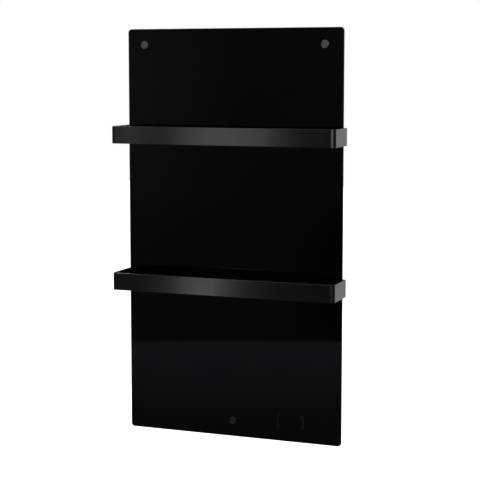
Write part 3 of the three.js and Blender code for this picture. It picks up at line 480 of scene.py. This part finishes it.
def folded(corners, thickness, width, lift, edge=0.5, bend_steps=10):
    """A strip folded along (u, v) corners, each with the radius of its middle line, and lifted into 3-D.

    lift(u, v, w) places a point, where w runs across the strip."""
    spots = [Vector(corners[0])]
    for before, at, after in zip(corners, corners[1:], corners[2:]):
        radius = at[2]
        inward = Vector((before[0] - at[0], before[1] - at[1])).normalized()
        outward = Vector((after[0] - at[0], after[1] - at[1])).normalized()
        spot = Vector(at[:2])
        hub = spot + (inward + outward) * radius
        first, last = spot + inward * radius - hub, spot + outward * radius - hub
        for i in range(bend_steps + 1):
            share = math.pi / 2 * i / bend_steps
            spots.append(hub + first * math.cos(share) + last * math.sin(share))
    spots.append(Vector(corners[-1]))

    def along(i):
        step = Vector((0, 0))
        if i > 0:
            step += (spots[i] - spots[i - 1]).normalized()
        if i < len(spots) - 1:
            step += (spots[i + 1] - spots[i]).normalized()
        return step.normalized()

    def section(spot, forward, inset):
        side = Vector((-forward.y, forward.x))
        half_t, half_w, corner = thickness / 2 - inset, width / 2 - inset, max(edge - inset, 0.01)
        points = []
        for quarter, (s, w) in enumerate(((1, 1), (-1, 1), (-1, -1), (1, -1))):
            for a, b in arc((s * (half_t - corner), w * (half_w - corner)), corner,
                            90 * quarter, 90 * quarter + 90, 4):
                flat = spot + side * a
                points.append(lift(flat.x, flat.y, b))
        return points

    shell = Shell()
    rings = []
    last_step = 3
    for end, order in ((0, range(last_step + 1)), (-1, range(last_step, -1, -1))):
        forward = along(0 if end == 0 else len(spots) - 1)
        turn = 1 if end == 0 else -1
        rounding = []
        for i in order:
            angle = math.pi / 2 * i / last_step
            spot = spots[end] + forward * turn * edge * (1 - math.sin(angle))
            rounding.append(section(spot, forward, edge * (1 - math.cos(math.pi / 2 - angle))))
        rings.append(rounding)
    middle = [section(spots[i], along(i), 0) for i in range(1, len(spots) - 1)]
    first, last = shell.loft(rings[0] + middle + rings[1])
    shell.face(first)
    shell.face(last)
    return shell


# ---------------------------------------------------------------- glass panel

HALF_WIDTH, BOTTOM, TOP = 250, -720, 180
GLASS_FRONT, GLASS_BACK, GLASS_CORNER = -50, -45, 8
MIDDLE = (BOTTOM + TOP) / 2
GLASS_HALF = (TOP - BOTTOM) / 2
# The ground edge, as (inset from the glass's side, depth from its face).
GROUND_EDGE = [(0.95, 0), (0.75, 0.06), (0.2, 0.62), (0.04, 0.85), (0, 1.05)]
BORE, BORE_EDGE = 5, 0.3
CAPS = {"top_left": (-209, 144), "top_right": (209, 144), "bottom": (0, -684)}
GLASS, EDGE, ENAMEL = 0, 1, 2


def glass_panel():
    shell = Shell()

    def ring(inset, y):
        return rounded(HALF_WIDTH - inset, GLASS_HALF - inset, GLASS_CORNER - inset, y, (0, MIDDLE), 14)

    def bores(radius, y):
        return [shell.ring(circle(radius, y, spot)) for spot in CAPS.values()]

    front, land = shell.loft([ring(inset, GLASS_FRONT + d) for inset, d in GROUND_EDGE], EDGE)
    _, back = shell.loft([ring(inset, GLASS_BACK - d) for inset, d in reversed(GROUND_EDGE)], EDGE, land)
    front_rims, back_rims = bores(BORE + BORE_EDGE, GLASS_FRONT), bores(BORE + BORE_EDGE, GLASS_BACK)
    shell.fill(front, front_rims, GLASS)
    shell.fill(back, back_rims, ENAMEL)
    front_bores, back_bores = bores(BORE, GLASS_FRONT + BORE_EDGE), bores(BORE, GLASS_BACK - BORE_EDGE)
    for rings in zip(front_rims, front_bores, back_bores, back_rims):
        for one, other in zip(rings, rings[1:]):
            shell.bridge(one, other, EDGE)
    return shell


piece("glass", glass_panel(), ["black_glass", "glass_edge", "glass_enamel"],
      stands_for="glass_panel", slot="black_glass", crease=30)


# Two square brackets, drawn in ink on the glass in front of the hidden display.
MARK_LEFT, MARK_RIGHT, MARK_LOW, MARK_HIGH = 104.8, 163.2, -688.5, -660
MARK_LINE, MARK_SERIF, MARK_BAR = 1.6, 6.4, 2.2
INK, INK_SINK = 0.03, 0.01


def bracket(x, inward):
    """A bracket whose serifs point inward, 1 for +X and -1 for -X."""
    tall = MARK_HIGH - MARK_LOW
    outline = [(0, 0), (MARK_SERIF, 0), (MARK_SERIF, MARK_BAR), (MARK_LINE, MARK_BAR),
               (MARK_LINE, tall - MARK_BAR), (MARK_SERIF, tall - MARK_BAR), (MARK_SERIF, tall), (0, tall)]
    points = [(x + inward * (u - MARK_LINE / 2), MARK_LOW + w) for u, w in outline]
    shell = Shell()
    levels = (GLASS_FRONT - INK, GLASS_FRONT + INK_SINK)
    front, back = shell.loft([[(u, y, w) for u, w in points] for y in levels])
    shell.fill(front)
    shell.fill(back)
    return shell


for side, spot, inward in (("left", MARK_LEFT, 1), ("right", MARK_RIGHT, -1)):
    piece(f"display_mark_{side}", bracket(spot, inward), "grey_ink", slot="black_glass")


# ---------------------------------------------------------------- caps, bushes and screws

# Turned outlines are (radius, Y) pairs, with Y from the piece's seat. A cap ends in its stud.
CAP_BACK, CAP_THICK, FACE_DEPTH, BUSH_GAP = -51.4, 3.2, 0.005, 0.3
CAP = [(0, -3.2), (7.9, -3.2), (8.2, -3.17), (8.46, -3.07), (8.68, -2.9), (8.85, -2.68), (8.96, -2.42),
       (9, -2.1), (9, -0.4), (8.9, -0.12), (8.6, 0), (3, 0), (3, 18.4), (2.7, 18.7), (0, 18.7)]
BUSH = [(3.3, 0), (7.75, 0), (8, 0.2), (8, 0.6), (7.75, 0.8), (4.7, 0.8), (4.7, 5.9), (4.5, 6.1), (3.3, 6.1)]

for corner, (x, z) in CAPS.items():
    # The bottom cap takes the darker copies of the metal and the rim: painted shade for the lesser light
    # there.
    tone = "_dark" if corner == "bottom" else ""
    made = piece(f"cap_{corner}", turned(CAP, 72), [f"cap_metal{tone}", f"cap_rim{tone}"],
                 stands_for=f"glass_cap_{corner}", slot="cap_metal", place=(x, CAP_BACK, z), crease=25)
    for polygon in made.data.polygons:
        polygon.material_index = int(polygon.center.y > (FACE_DEPTH - CAP_THICK) * MM)
    piece(f"bush_{corner}", turned(BUSH), "clear_nylon", stands_for=f"cap_bush_{corner}",
          slot="clear_nylon", place=(x, CAP_BACK + BUSH_GAP, z))


def socket_screw(shank, head, height, socket, depth, length):
    """A button head with a hexagon socket facing +Y, and its shank."""
    dome = [(1, 0.3), (0.99, 0.45), (0.94, 0.62), (0.86, 0.78), (0.75, 0.9), (0.62, 0.98), (0.5, 1)]
    tip, rim, lip, drilled_side, drilled_end = 0.3, 0.2, 0.14, 0.25, 0.3
    return turned([
        (0, -length), (shank - tip, -length), (shank, tip - length), (shank, 0),
        (head - rim, 0), (head, rim), *[(head * r, height * y) for r, y in dome],
        (socket * 1.08, height), (socket, height - lip, hexagon), (socket, height - depth, hexagon),
        (socket * 0.3, height - depth - drilled_side), (0, height - depth - drilled_end),
    ])


RAIL_SCREW = socket_screw(shank=2, head=3.8, height=2.2, socket=1.45, depth=1.3, length=4.5)
PILLAR_SCREW = socket_screw(shank=2, head=4.6, height=2.4, socket=1.75, depth=1.4, length=8.2)
TAB_BACK, CASING_BACK = -39, -18
RAIL_Z = {"upper": -51, "lower": -374.5}
RAIL_SCREW_X, RAIL_SCREW_RISE = 235.5, 11
# How the sockets happen to stand: degrees for each millimetre of the screw's place, and a start.
RAIL_SCREW_TURN, PILLAR_SCREW_TURN, PILLAR_SCREW_START = 17, 0.2, 11

for level, middle in RAIL_Z.items():
    for side, x in (("left", -RAIL_SCREW_X), ("right", RAIL_SCREW_X)):
        for row, rise in (("a", RAIL_SCREW_RISE), ("b", -RAIL_SCREW_RISE)):
            spot = f"{level}_{side}_{row}"
            piece(f"screw_{spot}", RAIL_SCREW, "black_steel", stands_for=f"rail_screw_{spot}",
                  slot="black_steel", place=(x, TAB_BACK, middle + rise),
                  turn=(0, RAIL_SCREW_TURN * rise, 0), crease=40)
for corner, (x, z) in CAPS.items():
    piece(f"casing_screw_{corner}", PILLAR_SCREW, "black_steel", stands_for=f"pillar_screw_{corner}",
          slot="black_steel", place=(x, CASING_BACK, z),
          turn=(0, PILLAR_SCREW_TURN * x + PILLAR_SCREW_START, 0), crease=40)


# ---------------------------------------------------------------- towel rails

RAIL_THICK, RAIL_TALL, RAIL_EDGE = 3, 38, 0.55
# The bar's middle line: how far it goes to each side, and the level of its front and of its tabs.
RAIL_SIDE, RAIL_FRONT, RAIL_BEND = 255, -128.5, 9
TAB_END, TAB_Y, TAB_BEND = 229, -40.5, 4.5
RAIL_LINE = [(-TAB_END, TAB_Y), (-RAIL_SIDE, TAB_Y, TAB_BEND), (-RAIL_SIDE, RAIL_FRONT, RAIL_BEND),
             (RAIL_SIDE, RAIL_FRONT, RAIL_BEND), (RAIL_SIDE, TAB_Y, TAB_BEND), (TAB_END, TAB_Y)]

for level, middle in RAIL_Z.items():
    bar = folded(RAIL_LINE, RAIL_THICK, RAIL_TALL, lambda u, v, w: (u, v, middle + w),
                 edge=RAIL_EDGE, bend_steps=16)
    piece(f"rail_{level}", bar, "rail_coat", stands_for=f"{level}_towel_rail", slot="rail_coat", crease=40)


# ---------------------------------------------------------------- rear casing

WALL_X, WALL_Z, WALL_CORNER = 228, 428, 12
FLANGE_FRONT, FLANGE_BACK, FLANGE_REACH, FLANGE_EDGE, SHEET = -43.5, -42.3, 15, 0.3, 1.2
# Radii of the bends on the tub's outside and inside.
FRONT_BEND_OUT, FRONT_BEND_IN, BACK_BEND_OUT, BACK_BEND_IN = 1.6, 2.8, 2.6, 1.4
BEADS, BEAD_LOW, BEAD_HIGH, BEAD_HALF = (-140, 0, 140), -564, -54, 7
BEAD_RISE, BEAD_SLOPE, BEAD_INNER, BEAD_RINGS = 1.5, 4.4, 0.4, 10
VENTS = [(0, -606 - 8 * i) for i in range(5)]
VENT_HALF, VENT_THICK = 32, 1.5
VENT_EDGE = [(0.45, 0), (0.12, -0.12), (0, -0.45), (0, -0.9), (0.1, -SHEET)]
EARTH_HOLE, EARTH_RADIUS, EARTH_EDGE = (-92, -674), 2.3, 0.2
CASE_Y, CASE_LOW, SWITCH_Z = -30.15, -698, -660
GLAND_X, SENSOR_X = -150, 60
# Cut-outs in the tub's wall: the switch's half depth and half height, and the inlets' radii.
SWITCH_CUT, INLET_CUTS, CUT_REACH = (6.5, 9.7), ((GLAND_X, 6), (SENSOR_X, 4.3)), 3


def stadium(half_x, half_z, y, middle, steps=12):
    return rounded(half_x, half_z, min(half_x, half_z), y, middle, steps)


def rear_casing():
    shell = Shell()

    def wall(outset, y):
        """A ring round the tub, that far outside its wall."""
        corner = max(WALL_CORNER + min(outset, 0), 1)
        return rounded(WALL_X + outset, WALL_Z + outset, corner, y, (0, MIDDLE), 10)

    def bends(front_radius, back_radius):
        """The rings of the bend from flange to wall, and of the bend from wall to back."""
        rings = []
        for outset, y, radius, start, end in (
                (FRONT_BEND_OUT, FLANGE_BACK + FRONT_BEND_OUT, front_radius, -90, -180),
                (-BACK_BEND_OUT, CASING_BACK - BACK_BEND_OUT, back_radius, 0, 90)):
            rings += [wall(outset + a, y + b) for a, b in arc((0, 0), radius, start, end, 6)]
        return rings

    flange_rim = [
        wall(FLANGE_REACH - FLANGE_EDGE, FLANGE_FRONT), wall(FLANGE_REACH, FLANGE_FRONT + FLANGE_EDGE),
        wall(FLANGE_REACH, FLANGE_BACK - FLANGE_EDGE), wall(FLANGE_REACH - FLANGE_EDGE, FLANGE_BACK)]
    flange, back = shell.loft(flange_rim + bends(FRONT_BEND_OUT, BACK_BEND_OUT))
    _, floor = shell.loft(bends(FRONT_BEND_IN, BACK_BEND_IN), start=flange)

    back_holes, floor_holes = [], []
    half = (BEAD_HIGH - BEAD_LOW) / 2
    for x in BEADS:
        spot = (x, (BEAD_LOW + BEAD_HIGH) / 2)
        for holes, start_y, slim in (
                (back_holes, CASING_BACK, 0), (floor_holes, CASING_BACK - SHEET, BEAD_INNER)):
            rings = []
            for i in range(BEAD_RINGS):
                t = i / (BEAD_RINGS - 1)
                shrink = slim + BEAD_SLOPE * t
                y = start_y + BEAD_RISE * (0.5 - 0.5 * math.cos(math.pi * t))
                rings.append(stadium(BEAD_HALF - shrink, half - shrink, y, spot))
            rim, crown = shell.loft(rings)
            holes.append(rim)
            shell.fill(crown)
    punched = [[stadium(VENT_HALF + out, VENT_THICK + out, CASING_BACK + y, spot, 8) for out, y in VENT_EDGE]
               for spot in VENTS]
    punched.append([circle(EARTH_RADIUS + EARTH_EDGE, CASING_BACK, EARTH_HOLE),
                    circle(EARTH_RADIUS, CASING_BACK - EARTH_EDGE, EARTH_HOLE),
                    circle(EARTH_RADIUS, CASING_BACK - SHEET, EARTH_HOLE)])
    for rings in punched:
        rim, inner = shell.loft(rings)
        back_holes.append(rim)
        floor_holes.append(inner)
    shell.fill(back, back_holes)
    shell.fill(floor, floor_holes)
    return shell


def closed_bodies(pairs_of_ends):
    """A shell of closed bodies, each given by its two end rings."""
    shell = Shell()
    for ends in pairs_of_ends:
        for end in shell.loft(ends):
            shell.face(end)
    return shell


def wall_cuts():
    """The switch's window in the right wall, and round holes for the inlets in the bottom wall."""
    depth, height = SWITCH_CUT
    pairs = [[[(x, CASE_Y + depth * side, SWITCH_Z + height * level)
               for side, level in ((-1, -1), (1, -1), (1, 1), (-1, 1))]
              for x in (WALL_X - CUT_REACH, WALL_X + CUT_REACH)]]
    for x, radius in INLET_CUTS:
        pairs.append([[(x + u, CASE_Y + v, z) for u, _, v in circle(radius, 0)]
                      for z in (CASE_LOW - CUT_REACH, CASE_LOW + CUT_REACH)])
    return closed_bodies(pairs)


piece("casing", rear_casing(), "casing_coat", stands_for="rear_casing", slot="casing_coat",
      carve=wall_cuts(), crease=34)


# ---------------------------------------------------------------- inlets in the bottom wall

GLAND = [
    (3.5, -13.3), (3.9, -13.75), (5.1, -14), (5.5, -13.85), (6.1, -12.8, fluted), (7, -10, fluted),
    (7.05, -5, fluted), (6.7, -4.4), (6.7, -4.1), (8.1, -4), (8.9, -3.5, hexagon), (9.2, -3.1, hexagon),
    (9.2, -0.7, hexagon), (8.9, -0.3, hexagon), (7.9, 0), (5.7, 0), (5.7, 5.2), (5.4, 5.5), (3.5, 5.5),
]
piece("gland", turned(GLAND, 144), "black_plastic", stands_for="cable_gland", slot="black_plastic",
      place=(GLAND_X, CASE_Y, CASE_LOW), turn=(90, 0, 0), crease=38)

SENSOR = [(0, -1.4), (4.9, -1.4), (5.6, -1.25), (5.95, -0.85), (6, -0.4), (5.9, 0), (4, 0), (4, 8.6),
          (3.6, 9), (0, 9)]
# Each slit's place and half length, then half their width and where they start and end.
SLITS, SLIT_HALF, SLIT_SPAN = ((-2.4, 2.9), (0, 3.6), (2.4, 2.9)), 0.6, (-2, -0.4)
slits = closed_bodies([stadium(SLIT_HALF, half, y, (x, 0), 6) for y in SLIT_SPAN] for x, half in SLITS)
piece("sensor_cover", turned(SENSOR, 48), "black_plastic", stands_for="room_sensor", slot="black_plastic",
      place=(SENSOR_X, CASE_Y, CASE_LOW), turn=(90, 0, 0), carve=slits, crease=35)


# ---------------------------------------------------------------- power switch

# Rings of the switch: half width, half height, corner and distance from the heater's middle plane.
WINDOW = [
    (7.5, 10.7, 1.6, 228), (7.5, 10.7, 1.6, 229.1), (7.38, 10.58, 1.5, 229.6), (7.1, 10.3, 1.3, 229.9),
    (6.7, 9.9, 1.0, 230), (5.2, 8.2, 0.7, 230), (4.85, 7.85, 0.5, 229.85), (4.7, 7.7, 0.4, 229.5),
    (4.7, 7.7, 0.4, 220)]
BODY = [(6.2, 9.4, 0.6, 228), (6.2, 9.4, 0.6, 211.4), (5.9, 9.1, 0.4, 211)]
BLADE = [(3.15, 0.4, 0.2, 211.5), (3.15, 0.4, 0.2, 204.6), (2.6, 0.25, 0.2, 204)]
BLADE_RISE = 5


def switch_housing():
    """Faces local -Y, so that a quarter turn points it at +X."""
    def rings(table, rise=0):
        return [rounded(x, z, corner, -reach, (0, rise), 5) for x, z, corner, reach in table]

    shell = Shell()
    seat, floor = shell.loft(rings(WINDOW))
    shell.face(floor)
    _, end = shell.loft(rings(BODY), start=seat)
    shell.face(end)
    for rise in (-BLADE_RISE, BLADE_RISE):
        root, tip = shell.loft(rings(BLADE, rise))
        shell.face(tip)
        shell.face(root)
    return shell


piece("switch_case", switch_housing(), "black_plastic", stands_for="switch_housing", slot="black_plastic",
      place=(0, CASE_Y, SWITCH_Z), turn=(0, 0, 90), crease=35)


PIVOT_X, SWING = 228.3, 9
ROCKER_WIDTH, ROCKER_HALF, ROCKER_WAIST, ROCKER_DISH, DISH_STEPS = 8.8, 6.9, 2, 0.7, 8


def rocker_body():
    """Level rocker about its pivot: dished faces towards +X, extruded along Y."""
    rise = ROCKER_WAIST + ROCKER_HALF * math.tan(math.radians(SWING))
    face = []
    for start, first in ((-1, 0), (0, 1)):
        for i in range(first, DISH_STEPS + 1):
            t = i / DISH_STEPS
            z = ROCKER_HALF * (t + start)
            flat = ROCKER_WAIST + abs(z) / ROCKER_HALF * (rise - ROCKER_WAIST)
            face.append((flat - ROCKER_DISH * t * (1 - t), z))
    outline = [(-3, -5.2), (0, -6.7), *face, (0, 6.7), (-3, 5.2)]
    half = ROCKER_WIDTH / 2
    shell = Shell()
    one, other = shell.loft([[(x, y, z) for x, z in outline] for y in (-half, half)])
    shell.fill(one)
    shell.fill(other)
    return shell


ROCKER = {"body": "power_rocker", "place": (PIVOT_X, CASE_Y, SWITCH_Z)}
piece("rocker", rocker_body(), "black_plastic", stands_for="switch_rocker", slot="black_plastic",
      turn=(0, SWING, 0), bevel=0.35, bevel_angle=28, **ROCKER)


# A generic I and O on the rocker's halves, as inlays that stand just proud of its dished faces.
INLAY, INLAY_Z, INLAY_SINK = 0.3, 3.55, 0.36
on_mark = closed_bodies([[rounded(0.3, 1.6, 0.12, y, (0, 0), 4) for y in (0, INLAY)]])
off_mark = turned([(1.55, 0), (1.55, INLAY), (1.05, INLAY), (1.05, 0)], 40)
for name, shell, half in (("rocker_mark_on", on_mark, 1), ("rocker_mark_off", off_mark, -1)):
    reach = ROCKER_WAIST + INLAY_Z * math.tan(math.radians(SWING)) - INLAY_SINK
    tilt = Matrix.Rotation(math.radians(SWING), 4, "Y")
    lean = Matrix.Rotation(math.radians(SWING * half), 4, "Y")
    own = tilt @ Matrix.Translation((reach, 0, half * INLAY_Z)) @ (
        lean @ Matrix.Rotation(math.radians(-90), 4, "Z"))
    shell.points = [tuple(own @ Vector(p)) for p in shell.points]
    piece(name, shell, "white_ink", slot="black_plastic", **ROCKER)


# ---------------------------------------------------------------- hanging parts

# Sheet strips folded along (Y, Z) corners, each bend with its radius.
RAIL_SHEET, SHEET_BEND, SHEET_EDGE, HANGER_WIDTH, WALL_WIDTH = 2, 2.2, 0.3, 320, 380
HANGER_LINE = [(-16.7, 4.3), (-16.7, 33.3, SHEET_BEND), (-9.5, 33.3, SHEET_BEND), (-9.5, 22.5)]
WALL_LINE = [(-1, -20), (-1, 19, SHEET_BEND), (-12, 19, SHEET_BEND), (-12, 32)]
WALL_SLOTS, SLOT_HALF_X, SLOT_HALF_Z, SLOT_SPAN = (-150, -60, 60, 150), 6, 3, (-4, 2)


def across(u, v, w):
    return (w, u, v)


slots = closed_bodies(
    [stadium(SLOT_HALF_X, SLOT_HALF_Z, y, (x, 0), 10) for y in SLOT_SPAN] for x in WALL_SLOTS)
piece("hanger", folded(HANGER_LINE, RAIL_SHEET, HANGER_WIDTH, across, edge=SHEET_EDGE), "zinc_steel",
      stands_for="hanger_rail", slot="zinc_steel", crease=40)
piece("wall_bracket", folded(WALL_LINE, RAIL_SHEET, WALL_WIDTH, across, edge=SHEET_EDGE), "zinc_steel",
      body="wall_mount", stands_for="wall_rail", slot="zinc_steel", carve=slots, bevel=0.22, bevel_angle=55)

RIVET = [(0, -3.5), (2.4, -3.5), (2.4, 0), (4.4, 0), (4.6, 0.16), (4.5, 0.5), (4.05, 0.95), (3.4, 1.28),
         (2.6, 1.46), (1.75, 1.5), (1.5, 1.38), (1.4, 0.95), (1.15, 0.9), (1.1, 1.2), (0.85, 1.32), (0, 1.32)]
BUFFER = [(0, -3.5), (3, -3.5), (3, 0.3), (10.5, 0.3), (10.9, 0.5), (11, 0.9), (11, 5.6), (10.55, 6.1),
          (10.55, 6.9), (11, 7.4), (11, 13.6), (10.85, 14.6), (9.85, 17.3), (9.5, 17.8), (9, 18),
          (6.2, 18), (5.7, 17.8), (5.4, 17.2), (5.2, 16.6), (0, 16.4)]
RIVET_PLACE, BUFFER_PLACE = (120, -15.7, 8), (198, CASING_BACK, -616)
for side, way in (("left", -1), ("right", 1)):
    for name, outline, steps, finish, node, (x, y, z), crease in (
            ("rivet", RIVET, 40, "zinc_steel", "hanger_rivet", RIVET_PLACE, 40),
            ("buffer", BUFFER, 56, "black_rubber", "wall_buffer", BUFFER_PLACE, 45)):
        piece(f"{name}_{side}", turned(outline, steps), finish, stands_for=f"{node}_{side}", slot=finish,
              place=(way * x, y, z), crease=crease)


# ---------------------------------------------------------------- carried-over CAD nodes

# The bevel of a carried-over node's edges, by its finish.
ROUNDING = {"white_wool": 0.8, "black_rubber": 0.2, "black_plastic": 0.35, "zinc_steel": 0.3,
            "clear_nylon": 0.4, "blue_plastic": 0.5}
SLEEVES = {"brown_sleeve", "blue_sleeve", "red_sleeve"}
for node in nodes.values():
    if node.hide_render:
        continue
    kind = node.material_slots[0].material.name.split(".")[0]
    node.material_slots[0].material = looks[kind]
    weld = node.modifiers.new("weld", "WELD")
    weld.merge_threshold = 1e-6
    if kind in SLEEVES:
        smooth = node.modifiers.new("rounding", "SUBSURF")
        smooth.levels = smooth.render_levels = 1
        continue
    if kind in ROUNDING:
        merge = node.modifiers.new("merge", "DECIMATE")
        merge.decimate_type, merge.angle_limit = "DISSOLVE", math.radians(1)
        rounding = node.modifiers.new("rounding", "BEVEL")
        rounding.width, rounding.segments = ROUNDING[kind] * MM, 2
        rounding.limit_method, rounding.angle_limit = "ANGLE", math.radians(40)


# ---------------------------------------------------------------- studio

# The floor's half width and its level, its glow and its whiteness.
FLOOR_METRES, FLOOR_LEVEL_METRES = 9.0, -0.95
GLOW, ALBEDO = 0.62, 0.8

floor_shell = Shell()
floor_shell.face(floor_shell.ring([
    (x * FLOOR_METRES / MM, y * FLOOR_METRES / MM, 0) for x, y in ((-1, -1), (1, -1), (1, 1), (-1, 1))]))
floor = bpy.data.objects.new("floor", floor_shell.mesh("floor"))
floor.location = (0, 0, FLOOR_LEVEL_METRES)
floor.visible_glossy = False
scene.collection.objects.link(floor)
floor_look = bpy.data.materials.new("pale_floor")
floor_look.use_nodes = True
g = Graph(floor_look.node_tree)
pale = g.node("BsdfPrincipled", {
    "Base Color": (ALBEDO, ALBEDO, ALBEDO, 1), "Roughness": 0.9, "Specular IOR Level": 0.1,
    "Emission Color": (1, 1, 1, 1), "Emission Strength": GLOW})
g.node("OutputMaterial", {"Surface": pale.outputs[0]})
floor.data.materials.append(floor_look)


def degrees_ramp(g, value, stops, reach):
    """A ramp over an angle in degrees that runs from -reach to reach; tones are shares of TONE_UNIT."""
    share = g.remap(value, -math.radians(reach), math.radians(reach), smooth=False)
    return g.ramp(share, [((angle + reach) / (2 * reach), tone / TONE_UNIT) for angle, tone in stops])


# The glow of what surrounds the heater, as (degrees, tone). Azimuths run from 0 in front of the heater
# to 90 at its right. Two bands: the upper one is what the glass and the upper rail mirror, the lower
# one what the lower rail mirrors, down to the front floor, whose tones follow the elevation.
TONE_UNIT = 4.0
SIDES = [(-180.0, 0.42), (-130.0, 0.36), (-112.0, 0.1)]
REAR = [(72.0, 0.05), (120.0, 0.05), (146.0, 0.75), (170.0, 0.75), (180.0, 0.42)]
HIGH_BAND = [
    *SIDES, (-60.0, 0.1), (-27.0, 0.1), (-25.0, 0.08), (-23.5, 0.058), (-21.0, 0.038), (-16.8, 0.045),
    (-14.0, 0.13), (-8.0, 0.26), (3.0, 0.4), (14.0, 2.2), (44.0, 3.0), (58.0, 0.6), *REAR]
LOW_BAND = [
    *SIDES, (-60.0, 0.08), (-27.0, 0.04), (-24.0, 0.034), (-20.0, 0.03), (-16.5, 0.0), (0.0, 0.02),
    (50.0, 0.1), *REAR]
FRONT_FLOOR = [
    (-90.0, 0.03), (-15.35, 0.035), (-14.1, 0.042), (-13.5, 0.06), (-12.7, 0.088), (-11.8, 0.122),
    (-11.2, 0.148), (0.0, 0.148)]
FRONT_FLOOR_TINT = (0.96, 0.96, 1.08, 1)
OVERHEAD, REAR_OVERHEAD, REAR_FLOOR = 1.8, 0.55, 0.6
# Where each part gives way to the next: elevations in degrees, and the share of the direction's Y.
BAND_CHANGE, OVERHEAD_CHANGE, REAR_CHANGE = (-7.5, -2.0), (14, 44), (-0.2, 0.5)
HORIZON, HORIZON_BLUR_RADIANS = -11.07, 0.0008


def even_tone(tone):
    """A grey of the surroundings, as a colour."""
    return (tone / TONE_UNIT,) * 3 + (1,)


world = bpy.data.worlds.new("studio")
world.use_nodes = True
scene.world = world
g = Graph(world.node_tree)
way = g.node("SeparateXYZ", {"Vector": g.node("TexCoord").outputs["Generated"]}).outputs
azimuth = g.math("ARCTAN2", way["X"], g.math("MULTIPLY", way["Y"], -1.0))
elevation = g.math("ARCSINE", way["Z"])
climb = g.remap(elevation, *(math.radians(e) for e in BAND_CHANGE))
band = g.mix(climb, degrees_ramp(g, azimuth, LOW_BAND, 180), degrees_ramp(g, azimuth, HIGH_BAND, 180))
behind = g.remap(way["Y"], *REAR_CHANGE)
overhead = g.mix(behind, even_tone(OVERHEAD), even_tone(REAR_OVERHEAD))
sky = g.mix(g.remap(elevation, *(math.radians(e) for e in OVERHEAD_CHANGE)), band, overhead)
front_floor = degrees_ramp(g, elevation, FRONT_FLOOR, 90)
tinted = g.mix(1.0, front_floor, FRONT_FLOOR_TINT, "MULTIPLY")
ground = g.mix(behind, tinted, even_tone(REAR_FLOOR))
line = math.radians(HORIZON)
around = g.mix(
    g.remap(elevation, line - HORIZON_BLUR_RADIANS, line + HORIZON_BLUR_RADIANS), ground, sky)
# The camera itself sees plain white.
seen = g.node("LightPath").outputs["Is Camera Ray"]
lit = g.node("Background", {"Color": around, "Strength": TONE_UNIT})
plain = g.node("Background", {"Color": (1, 1, 1, 1), "Strength": 1.0})
both = g.node("MixShader", {0: seen, 1: lit.outputs[0], 2: plain.outputs[0]})
g.node("OutputWorld", {"Surface": both.outputs[0]})


# Leaning strip lights in front of the towel rails, in metres. Each lights one rail only.
STRIP_METRES, STRIP_LEAN = (-0.576, -1.519, -0.37), (-0.066, 0.008, -0.489)
STRIP_TARGET, STRIP_LENGTH = (0, -0.13, -0.21), 1.1
# Each strip's name, the rail that it lights, how far it stands to the left, its width and its watts.
STRIPS = [
    ("upper", "upper", 0, 0.28, 1.4),
    ("lower", "lower", 0.01, 0.12, 0.97),
    ("end", "upper", 0.35, 0.1, 0.26)]

long_way = -Vector(STRIP_LEAN).normalized()
facing = (Vector(STRIP_TARGET) - Vector(STRIP_METRES)).normalized()
side_way = long_way.cross(-facing).normalized()
out_way = side_way.cross(long_way)
for name, level, left, width, watts in STRIPS:
    strip_data = bpy.data.lights.new(f"strip_{name}", "AREA")
    strip_data.shape = "RECTANGLE"
    strip_data.size, strip_data.size_y, strip_data.energy = width, STRIP_LENGTH, watts
    strip = bpy.data.objects.new(f"strip_{name}", strip_data)
    strip.matrix_world = Matrix.LocRotScale(
        Vector(STRIP_METRES) - Vector((left, 0, 0)),
        Matrix((side_way, long_way, out_way)).transposed(), None)
    strip.visible_camera = False
    scene.collection.objects.link(strip)
    receivers = bpy.data.collections.new(f"lit_by_strip_{name}")
    receivers.objects.link(bpy.data.objects[f"rail_{level}"])
    strip.light_linking.receiver_collection = receivers


# A soft light behind the heater, for the casing and the hanging parts.
BACK_METRES, BACK_TARGET, BACK_SIZE, BACK_WATTS = (-1.5, 1.5, 1.0), (0, 0, -0.3), 0.9, 34.0

back_data = bpy.data.lights.new("back", "AREA")
back_data.size, back_data.energy = BACK_SIZE, BACK_WATTS
back = bpy.data.objects.new("back", back_data)
back.location = BACK_METRES
back.rotation_euler = (Vector(BACK_TARGET) - Vector(BACK_METRES)).to_track_quat("-Z", "Y").to_euler()
back.visible_camera = False
scene.collection.objects.link(back)
